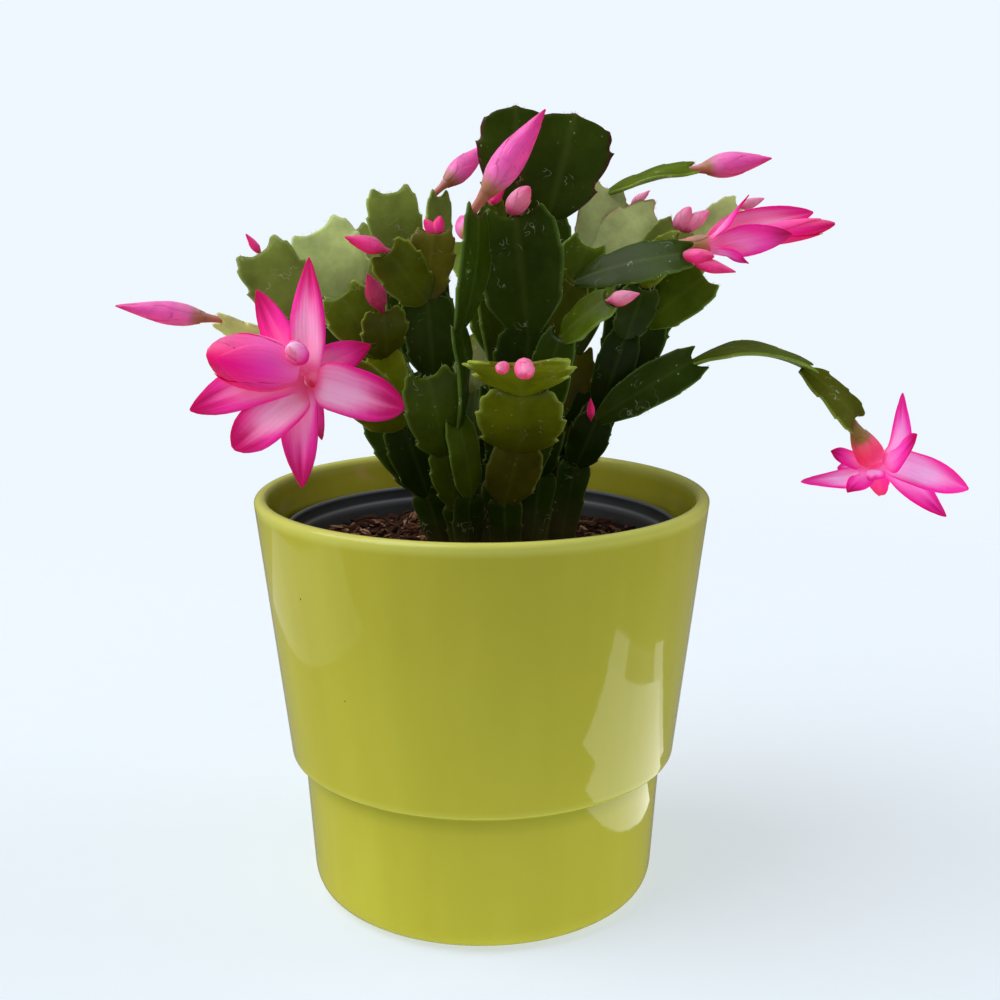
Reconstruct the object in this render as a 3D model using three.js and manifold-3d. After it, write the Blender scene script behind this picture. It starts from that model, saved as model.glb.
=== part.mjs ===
// A potted Christmas cactus: flat jointed stems with toothed edges, pink buds and blooms,
// rooted in a nursery pot of soil that stands inside a glazed cachepot with a stepped wall.
// Millimetres, +Z up. The origin is the centre of the cachepot's underside, and -Y faces the viewer.
import * as THREE from "three";
import { mergeVertices } from "three/addons/utils/BufferGeometryUtils.js";
import Module from "manifold-3d";

const wasm = await Module();
wasm.setup();

// Driving dimensions of the pots and the soil.
const POT_HEIGHT = 137;
const POT_RIM_R = 75;
const POT_WALL = 4.5;
const POT_WAIST_Z = 49; // where the wide upper wall ends in a lip over the narrow foot
const POT_WAIST_R = 64.9;
const POT_FOOT_R = 60.8; // the top of the narrow foot wall, which tapers
const POT_BASE_R = 57.6; // the foot wall above its rounded base
const POT_FLOOR = 5;
const NURSERY_TOP = 126;
const NURSERY_RIM_R = 65.8;
const NURSERY_WALL = 1.4;
const NURSERY_BASE_R = 45;
const SOIL_TOP = 115;
const GAP = 0.3; // clearance between pieces that touch
const AROUND = 32; // facets round the cachepot
const AROUND_INSIDE = 24; // facets round the nursery pot and the soil

// Driving dimensions of the stems.
const STUB_R = 2.7; // the woody foot of a stem
const STUB_DEPTH = 13;
const WOODY_R = 0.4; // mean radius of a woody first joint, as a share of its stated width
const WOODY_FLAT = 1.45; // how much wider than its mean it is, and how much thinner
const SUNK = 1.8; // how far a segment starts inside the one it grows from
const EDGE = 1.2; // thickness of a segment at its rim
const MIDDLE = 3; // thickness of a segment along its middle
const NECK = 0.62; // how thin a segment is where it grows from another, as a share of its own thickness
const HORN = 0.06; // how far the corners of a segment stand past the middle of its end
const CUP = 0.12; // how far a segment's sides lean forward, as a share of its half width
const BOW = 0.05; // how far a segment bends forward, as a share of its length
const SKEW = 0.05; // how far the teeth of one side stand ahead of the other side's

// A segment's outline, as [share of its length, share of its half width]: two teeth and an end corner a side.
const OUTLINE = [
  [0, 0.22],
  [0.32, 0.88],
  [0.37, 0.8],
  [0.66, 1],
  [0.72, 0.89],
  [1, 0.54],
];

// Driving dimensions of the buds and blooms.
const SEAT = 0.9; // how far a bud starts past the middle of a segment's notched end
const PETAL_EDGE = 0.8;
const PETAL_MIDDLE = 1.2;
const PETAL_CUP = 0.22;

// A petal's outline, from its narrow root to its point.
const PETAL = [
  [0, 0.42],
  [0.34, 0.88],
  [0.68, 0.94],
  [1, 0.14],
];

// A closed bud along its length, as [share of its length, share of its radius]: the ovary, then the petals.
const LONG_BUD = [
  [0, 0.3],
  [0.22, 0.5],
  [0.36, 0.92],
  [0.54, 1],
  [0.8, 0.6],
  [1, 0.08],
];
const ROUND_BUD = [
  [0, 0.45],
  [0.35, 1],
  [0.75, 0.82],
  [1, 0.15],
];
const TUBE = [
  [0, 0.42],
  [0.4, 0.78],
  [1.05, 1],
];

// Each stem stands in the soil at its root [x, y]. A segment is a row:
// [the row it grows from, or 0 for the root, tip x, y, z, width, turn of its broad side in degrees, bow].
// Turn 0 faces the viewer, or the sky where the segment points at the viewer.
const STEMS = {
  stem_front: {
    root: [8, -13],
    segments: [
      [0, 7, -17, 137, 10, 10],
      [1, 12, -24, 157, 18, 0],
      [2, 12, -44, 177, 27, 0],
      [3, 10, -71, 187, 31, 0],
      [1, 20, -19, 163, 12, 20],
      [5, 25, -27, 192, 15, -30],
      [6, 39, -31, 202, 15, -55],
    ],
  },
  stem_front_left: {
    root: [-5, -11],
    segments: [
      [0, -8, -15, 135, 9, 20],
      [1, -12, -22, 155, 12, 0],
      [2, -17, -34, 181, 19, 10],
      [0, -4, -19, 139, 9, -20],
      [4, -8, -28, 165, 12, 30],
      [5, -8, -33, 195, 17, 78],
      [6, -2, -31, 230, 18, 62],
    ],
  },
  stem_left: {
    root: [-12, -4],
    segments: [
      [0, -18, -6, 137, 10, 20],
      [1, -26, -14, 163, 16, 10],
      [2, -42.5, -30, 181, 18, 0],
      [2, -31, -18, 186, 14, -10],
      [4, -44, -20, 204, 18, 0],
      [4, -30.5, -26, 199, 15, 20],
      [1, -35, -1, 162, 15, 20],
      [1, -14, -10, 157, 12, 0],
      [8, -15, -14, 178, 15, 10],
      [9, -17, -16, 203, 18, 0],
      [10, -14.5, -14, 222.5, 15, -10],
      [10, -29.5, -24, 217, 16, 10],
    ],
  },
  stem_far_left: {
    root: [-13, 6],
    segments: [
      [0, -20, 8, 141, 10, 10],
      [1, -33, 8, 165, 14, 10],
      [2, -56, 3, 189, 16, 0],
      [3, -73, 6, 216, 21, 10],
      [3, -85, -4, 194, 14, -60],
      [1, -30, 18, 171, 15, -10],
      [6, -44, 20, 202, 17, 0],
      [7, -56, 22, 222, 25, 5],
    ],
  },
  stem_centre: {
    root: [3, -3],
    segments: [
      [0, 6, -4, 141, 10, 0],
      [1, 13, -12, 168, 17, 0],
      [2, 15, -16, 192, 21, 0],
      [3, 10, -20, 229, 28, 0],
      [1, 3, -6, 173, 13, 30],
      [5, 1, -10, 204, 15, 60],
      [6, 3, -7, 231.5, 14, 50],
    ],
  },
  stem_top: {
    root: [7, 8],
    segments: [
      [0, 8, 8, 143, 11, 0],
      [1, 9, 10, 173, 16, 50],
      [2, 10, 10, 201, 19, 20],
      [3, 10, 8, 228, 17, 0],
      [4, 11, 8, 263, 24, 5],
      [2, 20, 2, 200, 17, 10],
      [6, 21, 0, 227, 18, 0],
      [7, 30, -2, 260, 28, 0],
    ],
  },
  stem_top_left: {
    root: [-4, 10],
    segments: [
      [0, -9, 10, 143, 10, 0],
      [1, -15, 8, 177, 14, 0],
      [2, -18, 6, 209, 14, 20],
      [3, -14, 5, 234, 13, 55],
      [1, -18, 18, 175, 15, -60],
      [5, -27, 14, 211, 17, 0],
      [6, -30, 12, 235, 18, 5],
    ],
  },
  stem_right: {
    root: [16, -4],
    segments: [
      [0, 19, -4, 143, 10, 0],
      [1, 21, -7, 168, 14, -10],
      [2, 20, -9, 192, 15, 0],
      [3, 34, -10, 219, 17, 0],
      [3, 30, -13, 208, 14, -20],
      [5, 64, -26, 215, 17, -35],
    ],
  },
  stem_arch: {
    root: [26, 4],
    segments: [
      [0, 31, 4, 145, 10, 0],
      [1, 38, -1, 162, 14, 0],
      [2, 71, -2, 181, 15, -25],
      [3, 108, -2, 177, 15, -80, 0.14],
      [4, 122.4, -4, 159.5, 16, -50],
      [1, 40, 10, 163, 13, 0],
      [6, 55, 5, 194, 19, 0],
      [7, 73, -2, 208, 17, -20],
      [6, 47, 1, 189, 14, 0],
      [9, 52, 0, 204, 14, 10],
    ],
  },
  stem_right_back: {
    root: [21, 14],
    segments: [
      [0, 26, 14, 147, 11, 0],
      [1, 32, 14, 183, 15, 0],
      [2, 34, 14, 216, 17, 0],
      [3, 42, 16, 236, 16, 10],
      [4, 70, 14, 241, 14, -75],
      [3, 59, 12, 226, 17, -15],
      [1, 46, 14, 177, 15, 0],
      [7, 53, 9, 208, 17, 0],
      [8, 65, 7, 223, 16, -10],
      [8, 63, -8, 218, 14, -50],
      [7, 60, 20, 197, 17, 0],
      [11, 72, 24, 217, 17, 0],
      [12, 88, 26, 229, 14, -20],
    ],
  },
  stem_back_right: {
    root: [14, 21],
    segments: [
      [0, 17, 27, 145, 11, 0],
      [1, 26, 36, 177, 18, 50],
      [2, 38, 40, 211, 19, 20],
      [3, 52.5, 37, 230, 17, 0],
      [2, 40, 54, 195, 18, 65],
      [5, 54, 66, 207, 18, 40],
    ],
  },
  stem_back: {
    root: [0, 22],
    segments: [
      [0, -1, 28, 147, 11, 0],
      [1, 4, 36, 181, 19, 70],
      [2, 10, 36, 217, 22, 40],
      [3, 16, 32, 249, 22, 10],
      [2, 0, 52, 205, 20, 30],
      [5, -4, 70, 217, 20, -20],
      [1, -1, 44, 165, 15, -40],
      [7, -6, 66, 181, 18, -10],
    ],
  },
  stem_back_left: {
    root: [-10, 18],
    segments: [
      [0, -17, 24, 145, 11, 0],
      [1, -28, 34, 173, 17, -50],
      [2, -38, 40, 203, 19, -30],
      [3, -46, 44, 221, 17, 10],
      [2, -46, 50, 189, 18, -60],
      [5, -60, 60, 201, 18, -30],
      [1, -26, 48, 171, 15, 20],
    ],
  },
};

// Buds on the ends of segments: [stem, row of the segment, one or two bodies as [moved aside, tip, radius]].
const BUDS = {
  bud_far_left: ["stem_far_left", 5, [[[0, 0, 0], [-115, -12, 198.8], 3.9]]],
  bud_top_front: ["stem_front_left", 7, [[[0.3, 0, 0.5], [18.8, -33, 257.5], 5.8]]],
  bud_top_left: ["stem_top_left", 4, [[[0.6, 0.4, 1.4], [2.3, 16, 249], 4.2]]],
  bud_right_top: ["stem_right_back", 5, [[[0, 0, 0], [94.5, 12, 244.4], 4.2]]],
  bud_pair_right_back: [
    "stem_right_back",
    9,
    [
      [[-0.4, 0, 0.4], [67.6, 6, 229], 2.9],
      [[1.6, 0, -0.2], [73.8, 7, 227.6], 2.6],
    ],
  ],
  bud_pair_right: [
    "stem_right",
    6,
    [
      [[0, 0, 0], [70, -30, 215], 2.5],
      [[1.2, -1, -1.4], [76.5, -31, 210.3], 2.2],
    ],
  ],
  bud_pair_left: [
    "stem_left",
    11,
    [
      [[-0.9, 0, 0.4], [-17.6, -14, 225.6], 1.8],
      [[0.9, 0, 0.4], [-12.6, -14, 226.6], 2],
    ],
  ],
  bud_left_low: ["stem_left", 6, [[[0, 0, 0], [-34.1, -32, 210], 3.3]]],
  bud_left_high: ["stem_left", 12, [[[0, 0, 0], [-41.3, -27, 219.7], 2.8]]],
  bud_centre: ["stem_centre", 4, [[[0, -0.4, 0.4], [12.9, -23, 237], 3.7]]],
  bud_centre_small: ["stem_centre", 7, [[[0, 0, 0], [7.5, -8, 235.5], 1.9]]],
  bud_front_a: ["stem_front", 4, [[[1.6, 0, 0], [12, -78, 186], 3]]],
  bud_front_b: ["stem_front", 4, [[[-4, 0, 0], [4.6, -76, 186.6], 1.9]]],
  bud_front_right: ["stem_front", 7, [[[0, 0, 0], [47.5, -33, 204], 2.5]]],
  bud_far_left_small: ["stem_far_left", 4, [[[0, 0, 0], [-76, 5, 220.5], 1.5]]],
  bud_back_right_small: ["stem_back_right", 4, [[[0, 0, 0], [58, 37, 234], 1.7]]],
  bud_right_edge: ["stem_right_back", 13, [[[0, 0, 0], [95.5, 27, 231.5], 1.9]]],
  bud_back_top: ["stem_back", 4, [[[0, 0, 0], [15, 46, 257], 3.4]]],
  bud_back: ["stem_back", 6, [[[0, 0, 0], [-8, 98, 224], 4.2]]],
  bud_back_left: ["stem_back_left", 6, [[[0, 0, 0], [-66, 68, 208], 2.8]]],
  bud_back_right: ["stem_back_right", 6, [[[0, 0, 0], [62, 82, 219], 3.6]]],
};

// Open blooms: the segment that each grows on, its throat and axis, the radius of its tube there,
// its petals as [tip x, y, z, width, lift along the axis, turn], and closed bodies as [start, tip, radius].
const BLOOMS = {
  bloom_left: {
    stem: "stem_left",
    row: 3,
    aside: [-0.9, -1.2, 0.4],
    throat: [-48.5, -40.5, 178.5],
    axis: [-0.35, -0.93, 0.1],
    tube: 4.8,
    petals: [
      [-50.4, -36, 214.9, 11, 0.22],
      [-67.3, -33, 205.2, 10.5, 0.2],
      [-33.3, -35, 189, 10, 0.2],
      [-23.4, -45, 171.2, 15, 0.25],
      [-54.4, -42, 146.6, 13, 0.2],
      [-48.9, -34, 160.2, 7, 0.1],
      [-75.3, -42, 158.9, 14.5, 0.25],
      [-87.8, -38, 169.8, 11, 0.25],
    ],
    closed: [
      [[-54, -44, 182], [-80.5, -46, 188.4], 8.2],
      [[-50, -44, 182], [-55.4, -52, 191], 3],
    ],
  },
  bloom_right: {
    stem: "stem_arch",
    row: 5,
    throat: [129.5, 0, 147],
    axis: [0.38, 0.66, -0.65],
    tube: 5,
    petals: [
      [136.9, -6, 169.6, 9, 0.15],
      [140, -12, 157.7, 9, 0.15],
      [158.2, -12, 139.3, 12, 0.25],
      [155.1, 0, 127.7, 10, 0.3],
      [118.2, -13, 138.8, 7, 0.2],
      [104.4, -8, 141, 9, 0.25],
      [115, 0, 150.4, 8, 0.15],
      [137, -12, 142, 8, 0.2],
      [143, 22, 131, 11, 0.4],
      [121, 20, 133, 11, 0.4],
    ],
    closed: [[[130, 1, 146], [138, 15, 132], 3.4]],
  },
  bloom_opening: {
    stem: "stem_right_back",
    row: 10,
    aside: [0.5, 0, 0.3],
    throat: [74, -9.5, 217.5],
    axis: [0.97, -0.05, 0.2],
    tube: 4,
    petals: [
      [83.1, -12, 232.9, 5, 0.1],
      [83.3, -15, 212, 5, 0.3],
      [96.5, -14.5, 221, 10, 0.3],
      [104.5, -9, 228, 10, 0.3, 35],
      [100.8, -3, 222, 8, 0.3],
      [84, 1, 220, 6, 0.3],
    ],
    closed: [[[76, -9.5, 218], [110.8, -10, 224.1], 3.8]],
  },
};

// A point or direction from its three numbers.
const at = (x, y, z) => new THREE.Vector3(x, y, z);

// A closed manifold-3d solid from a flat list of points and triangles.
function solidFrom(points, triangles) {
  const vertProperties = new Float32Array(points.flatMap((p) => [p.x, p.y, p.z]));
  const triVerts = new Uint32Array(triangles.flat());
  return new wasm.Manifold(new wasm.Mesh({ numProp: 3, vertProperties, triVerts }));
}

// The same for a geometry that three.js made.
function solidOf(geometry) {
  const bare = geometry.clone();
  bare.deleteAttribute("normal");
  bare.deleteAttribute("uv");
  const merged = mergeVertices(bare, 1e-4);
  return new wasm.Manifold(
    new wasm.Mesh({
      numProp: 3,
      vertProperties: merged.attributes.position.array,
      triVerts: new Uint32Array(merged.index.array),
    }),
  );
}

// The main body of a fused solid, without scraps and with no hollow sealed inside.
function wholeOf(solids) {
  const bodies = wasm.Manifold.union(solids).decompose();
  return bodies.reduce((a, b) => (b.volume() > a.volume() ? b : a));
}

// A three.js geometry from a manifold-3d solid.
function geometryOf(solid) {
  const mesh = solid.getMesh();
  const geometry = new THREE.BufferGeometry();
  geometry.setAttribute("position", new THREE.BufferAttribute(mesh.vertProperties, 3));
  geometry.setIndex(new THREE.BufferAttribute(mesh.triVerts, 1));
  const flat = geometry.toNonIndexed();
  flat.computeVertexNormals();
  return flat;
}

// A closed blade between two grids of points that match, one on each face.
function bladeSolid(front, back) {
  const rows = front.length;
  const columns = front[0].length;
  const points = [...front.flat(), ...back.flat()];
  const f = (i, j) => i * columns + j;
  const b = (i, j) => rows * columns + i * columns + j;
  const triangles = [];
  const quad = (p, q, r, s) => triangles.push([p, q, r], [p, r, s]);
  for (let i = 0; i < rows - 1; i++) {
    for (let j = 0; j < columns - 1; j++) {
      // The split runs the same way on both faces.
      quad(f(i, j), f(i, j + 1), f(i + 1, j + 1), f(i + 1, j));
      triangles.push([b(i, j), b(i + 1, j + 1), b(i, j + 1)], [b(i, j), b(i + 1, j), b(i + 1, j + 1)]);
    }
    quad(f(i, 0), f(i + 1, 0), b(i + 1, 0), b(i, 0));
    quad(f(i, columns - 1), b(i, columns - 1), b(i + 1, columns - 1), f(i + 1, columns - 1));
  }
  for (let j = 0; j < columns - 1; j++) {
    quad(f(0, j), b(0, j), b(0, j + 1), f(0, j + 1));
    quad(f(rows - 1, j), f(rows - 1, j + 1), b(rows - 1, j + 1), b(rows - 1, j));
  }
  const solid = solidFrom(points, triangles);
  if (solid.volume() > 0) return solid;
  return solidFrom(points, triangles.map(([p, q, r]) => [p, r, q]));
}

// The direction that a segment's broad side faces, and the direction across it.
function facing(axis, turn) {
  const look = Math.abs(axis.y) > 0.8 ? at(0, 0, 1) : at(0, -1, 0);
  const towards = look.addScaledVector(axis, -look.dot(axis)).normalize();
  const aside = axis.clone().cross(towards);
  const angle = THREE.MathUtils.degToRad(turn);
  const normal = towards.multiplyScalar(Math.cos(angle)).addScaledVector(aside, Math.sin(angle));
  return { normal, across: normal.clone().cross(axis) };
}

// One flat stem segment from its base point to its tip.
function segmentSolid(base, tip, width, turn, bow, skew) {
  const length = base.distanceTo(tip);
  const axis = tip.clone().sub(base).normalize();
  const { normal, across } = facing(axis, turn);
  const control = base.clone().add(tip).multiplyScalar(0.5).addScaledVector(normal, 2 * bow * length);
  const spine = new THREE.QuadraticBezierCurve3(base, control, tip);
  const grid = (side) =>
    OUTLINE.map(([s, share]) =>
      [-1, 0, 1].map((t) => {
        const u = s + skew * t * Math.sin(Math.PI * s) + HORN * (t * t - 1) * s ** 4;
        const direction = spine.getTangent(Math.min(Math.max(u, 0), 1));
        const out = normal.clone().addScaledVector(direction, -normal.dot(direction)).normalize();
        const half = (share * width) / 2;
        const thick = ((s === 0 ? NECK : 1) * (t === 0 ? MIDDLE : EDGE)) / 2;
        return pointOn(spine, u)
          .addScaledVector(across, t * half)
          .addScaledVector(out, CUP * t * t * half + side * thick);
      }),
    );
  return bladeSolid(grid(1), grid(-1));
}

// A point of a quadratic curve, also a little past its ends.
function pointOn(curve, u) {
  return curve.v0
    .clone()
    .multiplyScalar((1 - u) ** 2)
    .addScaledVector(curve.v1, 2 * u * (1 - u))
    .addScaledVector(curve.v2, u * u);
}

// A body of revolution from one point towards another, after a profile of [share of length, share of radius].
function turnedSolid(from, to, radius, profile, sides, flatness = 1) {
  const length = from.distanceTo(to);
  const rings = profile.map(([s, share]) => new THREE.Vector2(share * radius, s * length));
  const points = [new THREE.Vector2(0, rings[0].y), ...rings, new THREE.Vector2(0, rings.at(-1).y)];
  const body = new THREE.LatheGeometry(points, sides);
  body.scale(flatness, 1, 1 / flatness);
  const axis = to.clone().sub(from).normalize();
  body.applyQuaternion(new THREE.Quaternion().setFromUnitVectors(at(0, 1, 0), axis));
  body.translate(from.x, from.y, from.z);
  return solidOf(body);
}

// A rooted stem: its foot in the soil, woody first joints and flat segments, fused.
// It also gives the notch in the middle of each segment's end, where the next segment or a bud grows.
let segmentCount = 0;
function growStem({ root, segments }) {
  const ground = at(root[0], root[1], SOIL_TOP + 2);
  const solids = [pinSolid(STUB_R, root[0], root[1], SOIL_TOP - STUB_DEPTH, SOIL_TOP + 4, 6)];
  const ends = [{ notch: ground, axis: at(0, 0, 1) }];
  for (const [from, x, y, z, width, turn, bow = BOW] of segments) {
    segmentCount += 1;
    const tip = at(x, y, z);
    if (from === 0) {
      const joint = [
        [0, 0.8],
        [1.05, 1],
      ];
      solids.push(turnedSolid(ground, tip, WOODY_R * width, joint, 6, WOODY_FLAT));
      ends.push({ notch: tip, axis: tip.clone().sub(ground).normalize() });
      continue;
    }
    const parent = ends[from];
    const base = parent.notch.clone().addScaledVector(parent.axis, -SUNK);
    const axis = tip.clone().sub(base).normalize();
    const skew = SKEW * Math.sin(2.4 * segmentCount);
    solids.push(segmentSolid(base, tip, width, turn, bow, skew));
    ends.push({ notch: tip.clone().addScaledVector(axis, -HORN * base.distanceTo(tip)), axis });
  }
  return { solid: wholeOf(solids), ends };
}

// One petal from the wall of its bloom's tube to its tip. It leaves along the bloom's axis, then arches out.
function petalSolid(throat, axis, tube, [x, y, z, width, lift, turn = 0]) {
  const tip = at(x, y, z);
  const outward = tip.clone().sub(throat);
  outward.addScaledVector(axis, -outward.dot(axis)).normalize();
  const start = throat.clone().addScaledVector(axis, -1).addScaledVector(outward, 0.6 * tube);
  const length = start.distanceTo(tip);
  const control = start.clone().addScaledVector(axis, lift * length);
  const spine = new THREE.QuadraticBezierCurve3(start, control, tip);
  const chord = tip.clone().sub(start).normalize();
  const across = axis.clone().cross(chord).normalize();
  across.applyAxisAngle(chord, THREE.MathUtils.degToRad(turn));
  const grid = (side) =>
    PETAL.map(([s, share]) =>
      [-1, 0, 1].map((t) => {
        const out = across.clone().cross(spine.getTangent(s)).normalize();
        const half = (share * width) / 2;
        const thick = t === 0 ? PETAL_MIDDLE / 2 : PETAL_EDGE / 2;
        return spine
          .getPoint(s)
          .addScaledVector(across, t * half)
          .addScaledVector(out, -PETAL_CUP * t * t * half + side * thick);
      }),
    );
  return bladeSolid(grid(1), grid(-1));
}

// A pot or a body of soil from its profile of [radius, height].
function lathed(profile, sides) {
  const body = new THREE.LatheGeometry(profile.map(([r, z]) => new THREE.Vector2(r, z)), sides);
  body.rotateX(Math.PI / 2);
  return body;
}

// A plain upright pin, for cutting holes.
function pinSolid(radius, x, y, low, high, sides) {
  const pin = new THREE.CylinderGeometry(radius, radius, high - low, sides);
  pin.rotateX(Math.PI / 2);
  pin.translate(x, y, (low + high) / 2);
  return solidOf(pin);
}

const plant = new THREE.Group();
function addPiece(name, solid, color, roughness) {
  const material = new THREE.MeshStandardMaterial({ color, roughness, metalness: 0 });
  const mesh = new THREE.Mesh(geometryOf(solid), material);
  mesh.name = name;
  plant.add(mesh);
}

const cachepot = solidOf(
  lathed(
    [
      [0, 0],
      [49, 0],
      [53.6, 1.8],
      [56.6, 6],
      [POT_BASE_R, 11],
      [POT_FOOT_R, POT_WAIST_Z - 1.6],
      [POT_WAIST_R - 2, POT_WAIST_Z - 0.4],
      [POT_WAIST_R - 0.2, POT_WAIST_Z + 1.4],
      [POT_RIM_R - 0.2, POT_HEIGHT - 2],
      [POT_RIM_R - 1, POT_HEIGHT],
      [POT_RIM_R - POT_WALL + 0.8, POT_HEIGHT],
      [POT_RIM_R - POT_WALL, POT_HEIGHT - 2],
      [POT_WAIST_R - POT_WALL, POT_WAIST_Z + 5],
      [POT_FOOT_R - POT_WALL, POT_WAIST_Z - 5],
      [POT_BASE_R - POT_WALL - 2, POT_FLOOR],
      [0, POT_FLOOR],
    ],
    AROUND,
  ),
);
addPiece("cachepot", cachepot, 0xaeb23f, 0.15);

// The nursery pot tapers to its base, and its rim band stands out above a step.
const NURSERY_FOOT = POT_FLOOR + GAP;
let nursery = solidOf(
  lathed(
    [
      [0, NURSERY_FOOT],
      [NURSERY_BASE_R, NURSERY_FOOT],
      [62.6, NURSERY_TOP - 9],
      [65, NURSERY_TOP - 8],
      [NURSERY_RIM_R, NURSERY_TOP],
      [NURSERY_RIM_R - NURSERY_WALL, NURSERY_TOP],
      [NURSERY_RIM_R - NURSERY_WALL - 0.9, NURSERY_TOP - 6.4],
      [61.2, NURSERY_TOP - 7.4],
      [NURSERY_BASE_R - NURSERY_WALL, NURSERY_FOOT + NURSERY_WALL],
      [0, NURSERY_FOOT + NURSERY_WALL],
    ],
    AROUND_INSIDE,
  ),
);
for (const [x, y] of [
  [30, 0],
  [0, 30],
  [-30, 0],
  [0, -30],
]) {
  nursery = nursery.subtract(pinSolid(4, x, y, POT_FLOOR, NURSERY_FOOT + 4, 6));
}
addPiece("nursery_pot", nursery, 0x2b2d2f, 0.55);

// The soil fills the nursery pot. Its top is uneven, with chips and hollows.
const soilBody = lathed(
  [
    [0, NURSERY_FOOT + NURSERY_WALL + GAP],
    [NURSERY_BASE_R - NURSERY_WALL - GAP, NURSERY_FOOT + NURSERY_WALL + GAP],
    [60.1, SOIL_TOP - 3],
    [57.5, SOIL_TOP],
    [45, SOIL_TOP],
    [28, SOIL_TOP],
    [0, SOIL_TOP],
  ],
  AROUND_INSIDE,
);
const soilPoints = soilBody.attributes.position;
for (let i = 0; i < soilPoints.count; i++) {
  const [x, y, z] = [soilPoints.getX(i), soilPoints.getY(i), soilPoints.getZ(i)];
  if (z < SOIL_TOP - 1) continue;
  soilPoints.setZ(i, z + 0.7 * Math.sin(0.9 * x + 2 * Math.sin(0.31 * y)) + 0.5 * Math.sin(1.3 * y + 0.4 * x));
}
let soil = solidOf(soilBody);
for (const { root } of Object.values(STEMS)) {
  soil = soil.subtract(
    pinSolid(STUB_R + 0.4, root[0], root[1], SOIL_TOP - STUB_DEPTH - GAP, SOIL_TOP + 5, 6),
  );
}
addPiece("soil", soil, 0x4a3524, 0.95);

const ends = {};
for (const [name, stem] of Object.entries(STEMS)) {
  const grown = growStem(stem);
  ends[name] = grown.ends;
  addPiece(name, grown.solid, 0x3f5a16, 0.5);
}

// Where a bud starts on the end of a segment, moved aside by some millimetres.
function seatOn(stem, row, aside = [0, 0, 0]) {
  const { notch, axis } = ends[stem][row];
  return notch.clone().addScaledVector(axis, SEAT).add(at(...aside));
}

for (const [name, [stem, row, parts]] of Object.entries(BUDS)) {
  const solids = parts.map(([aside, tip, radius]) => {
    const from = seatOn(stem, row, aside);
    const to = at(...tip);
    const long = from.distanceTo(to) > 4.5 * radius;
    return turnedSolid(from, to, radius, long ? LONG_BUD : ROUND_BUD, long ? 7 : 6);
  });
  addPiece(name, wholeOf(solids), 0xe8459a, 0.4);
}

for (const [name, bloom] of Object.entries(BLOOMS)) {
  const from = seatOn(bloom.stem, bloom.row, bloom.aside);
  const throat = at(...bloom.throat);
  const axis = at(...bloom.axis).normalize();
  const solids = [turnedSolid(from, throat, bloom.tube, TUBE, 6)];
  for (const petal of bloom.petals) {
    solids.push(petalSolid(throat, axis, bloom.tube, petal));
  }
  for (const [start, tip, radius] of bloom.closed) {
    solids.push(turnedSolid(at(...start), at(...tip), radius, ROUND_BUD, 6));
  }
  addPiece(name, wholeOf(solids), 0xee5fae, 0.4);
}

export default plant;
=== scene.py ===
# %% [markdown]
# # A potted Christmas cactus
# The plant grows in a thin nursery pot of bark mix, and that pot stands inside a glazed
# cachepot with a stepped wall. The imported model holds every piece at its real size. This
# lesson loads it as a fixed frame and dresses it: the plain solids that it draws anew are
# replaced by finer meshes that follow the same lines.

# %% Load the imported model
import math

import bmesh
import bpy
import numpy as np
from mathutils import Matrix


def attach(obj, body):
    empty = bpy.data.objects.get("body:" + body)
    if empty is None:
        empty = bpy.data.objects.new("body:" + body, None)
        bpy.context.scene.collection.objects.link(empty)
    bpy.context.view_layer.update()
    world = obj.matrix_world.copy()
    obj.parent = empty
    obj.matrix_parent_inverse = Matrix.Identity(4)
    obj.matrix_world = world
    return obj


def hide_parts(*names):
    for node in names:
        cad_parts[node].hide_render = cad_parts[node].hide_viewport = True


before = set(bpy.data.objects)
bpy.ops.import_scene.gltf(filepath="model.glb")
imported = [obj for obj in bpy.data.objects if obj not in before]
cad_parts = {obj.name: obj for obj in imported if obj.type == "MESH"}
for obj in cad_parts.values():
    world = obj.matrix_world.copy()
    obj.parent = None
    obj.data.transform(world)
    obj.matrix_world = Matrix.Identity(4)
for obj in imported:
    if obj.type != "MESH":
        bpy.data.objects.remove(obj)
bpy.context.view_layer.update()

MM = 0.001  # the tables below are in millimetres, and Blender works in metres

# %% [markdown]
# Colours are written as the hex values that a paint chart or a picture editor shows. Those
# are made for the eye, while a renderer adds up light, so one function turns each value into
# the linear number that light follows.

# %% Colours from hex values
def linear(chart):
    """A hex colour as the four linear numbers that a shader socket takes."""
    shown = [int(chart[i:i + 2], 16) / 255 for i in (1, 3, 5)]
    return tuple(c / 12.92 if c <= 0.04045 else ((c + 0.055) / 1.055) ** 2.4 for c in shown) + (1.0,)


print("mid grey is", round(linear("#808080")[0], 3))

# %% [markdown]
# A finish is a small net of nodes: patterns feed colours, colours feed a shader, and the
# shader feeds the output. Wiring them by hand is slow to read, so one function adds any node.
# It takes the node's own settings and, in a dictionary, what each of its sockets gets: a
# number, a colour, or a node made before it, whose first output is linked. The scale of a
# pattern says how many of its patches lie on a metre, so it is worked out from their real size.

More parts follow.
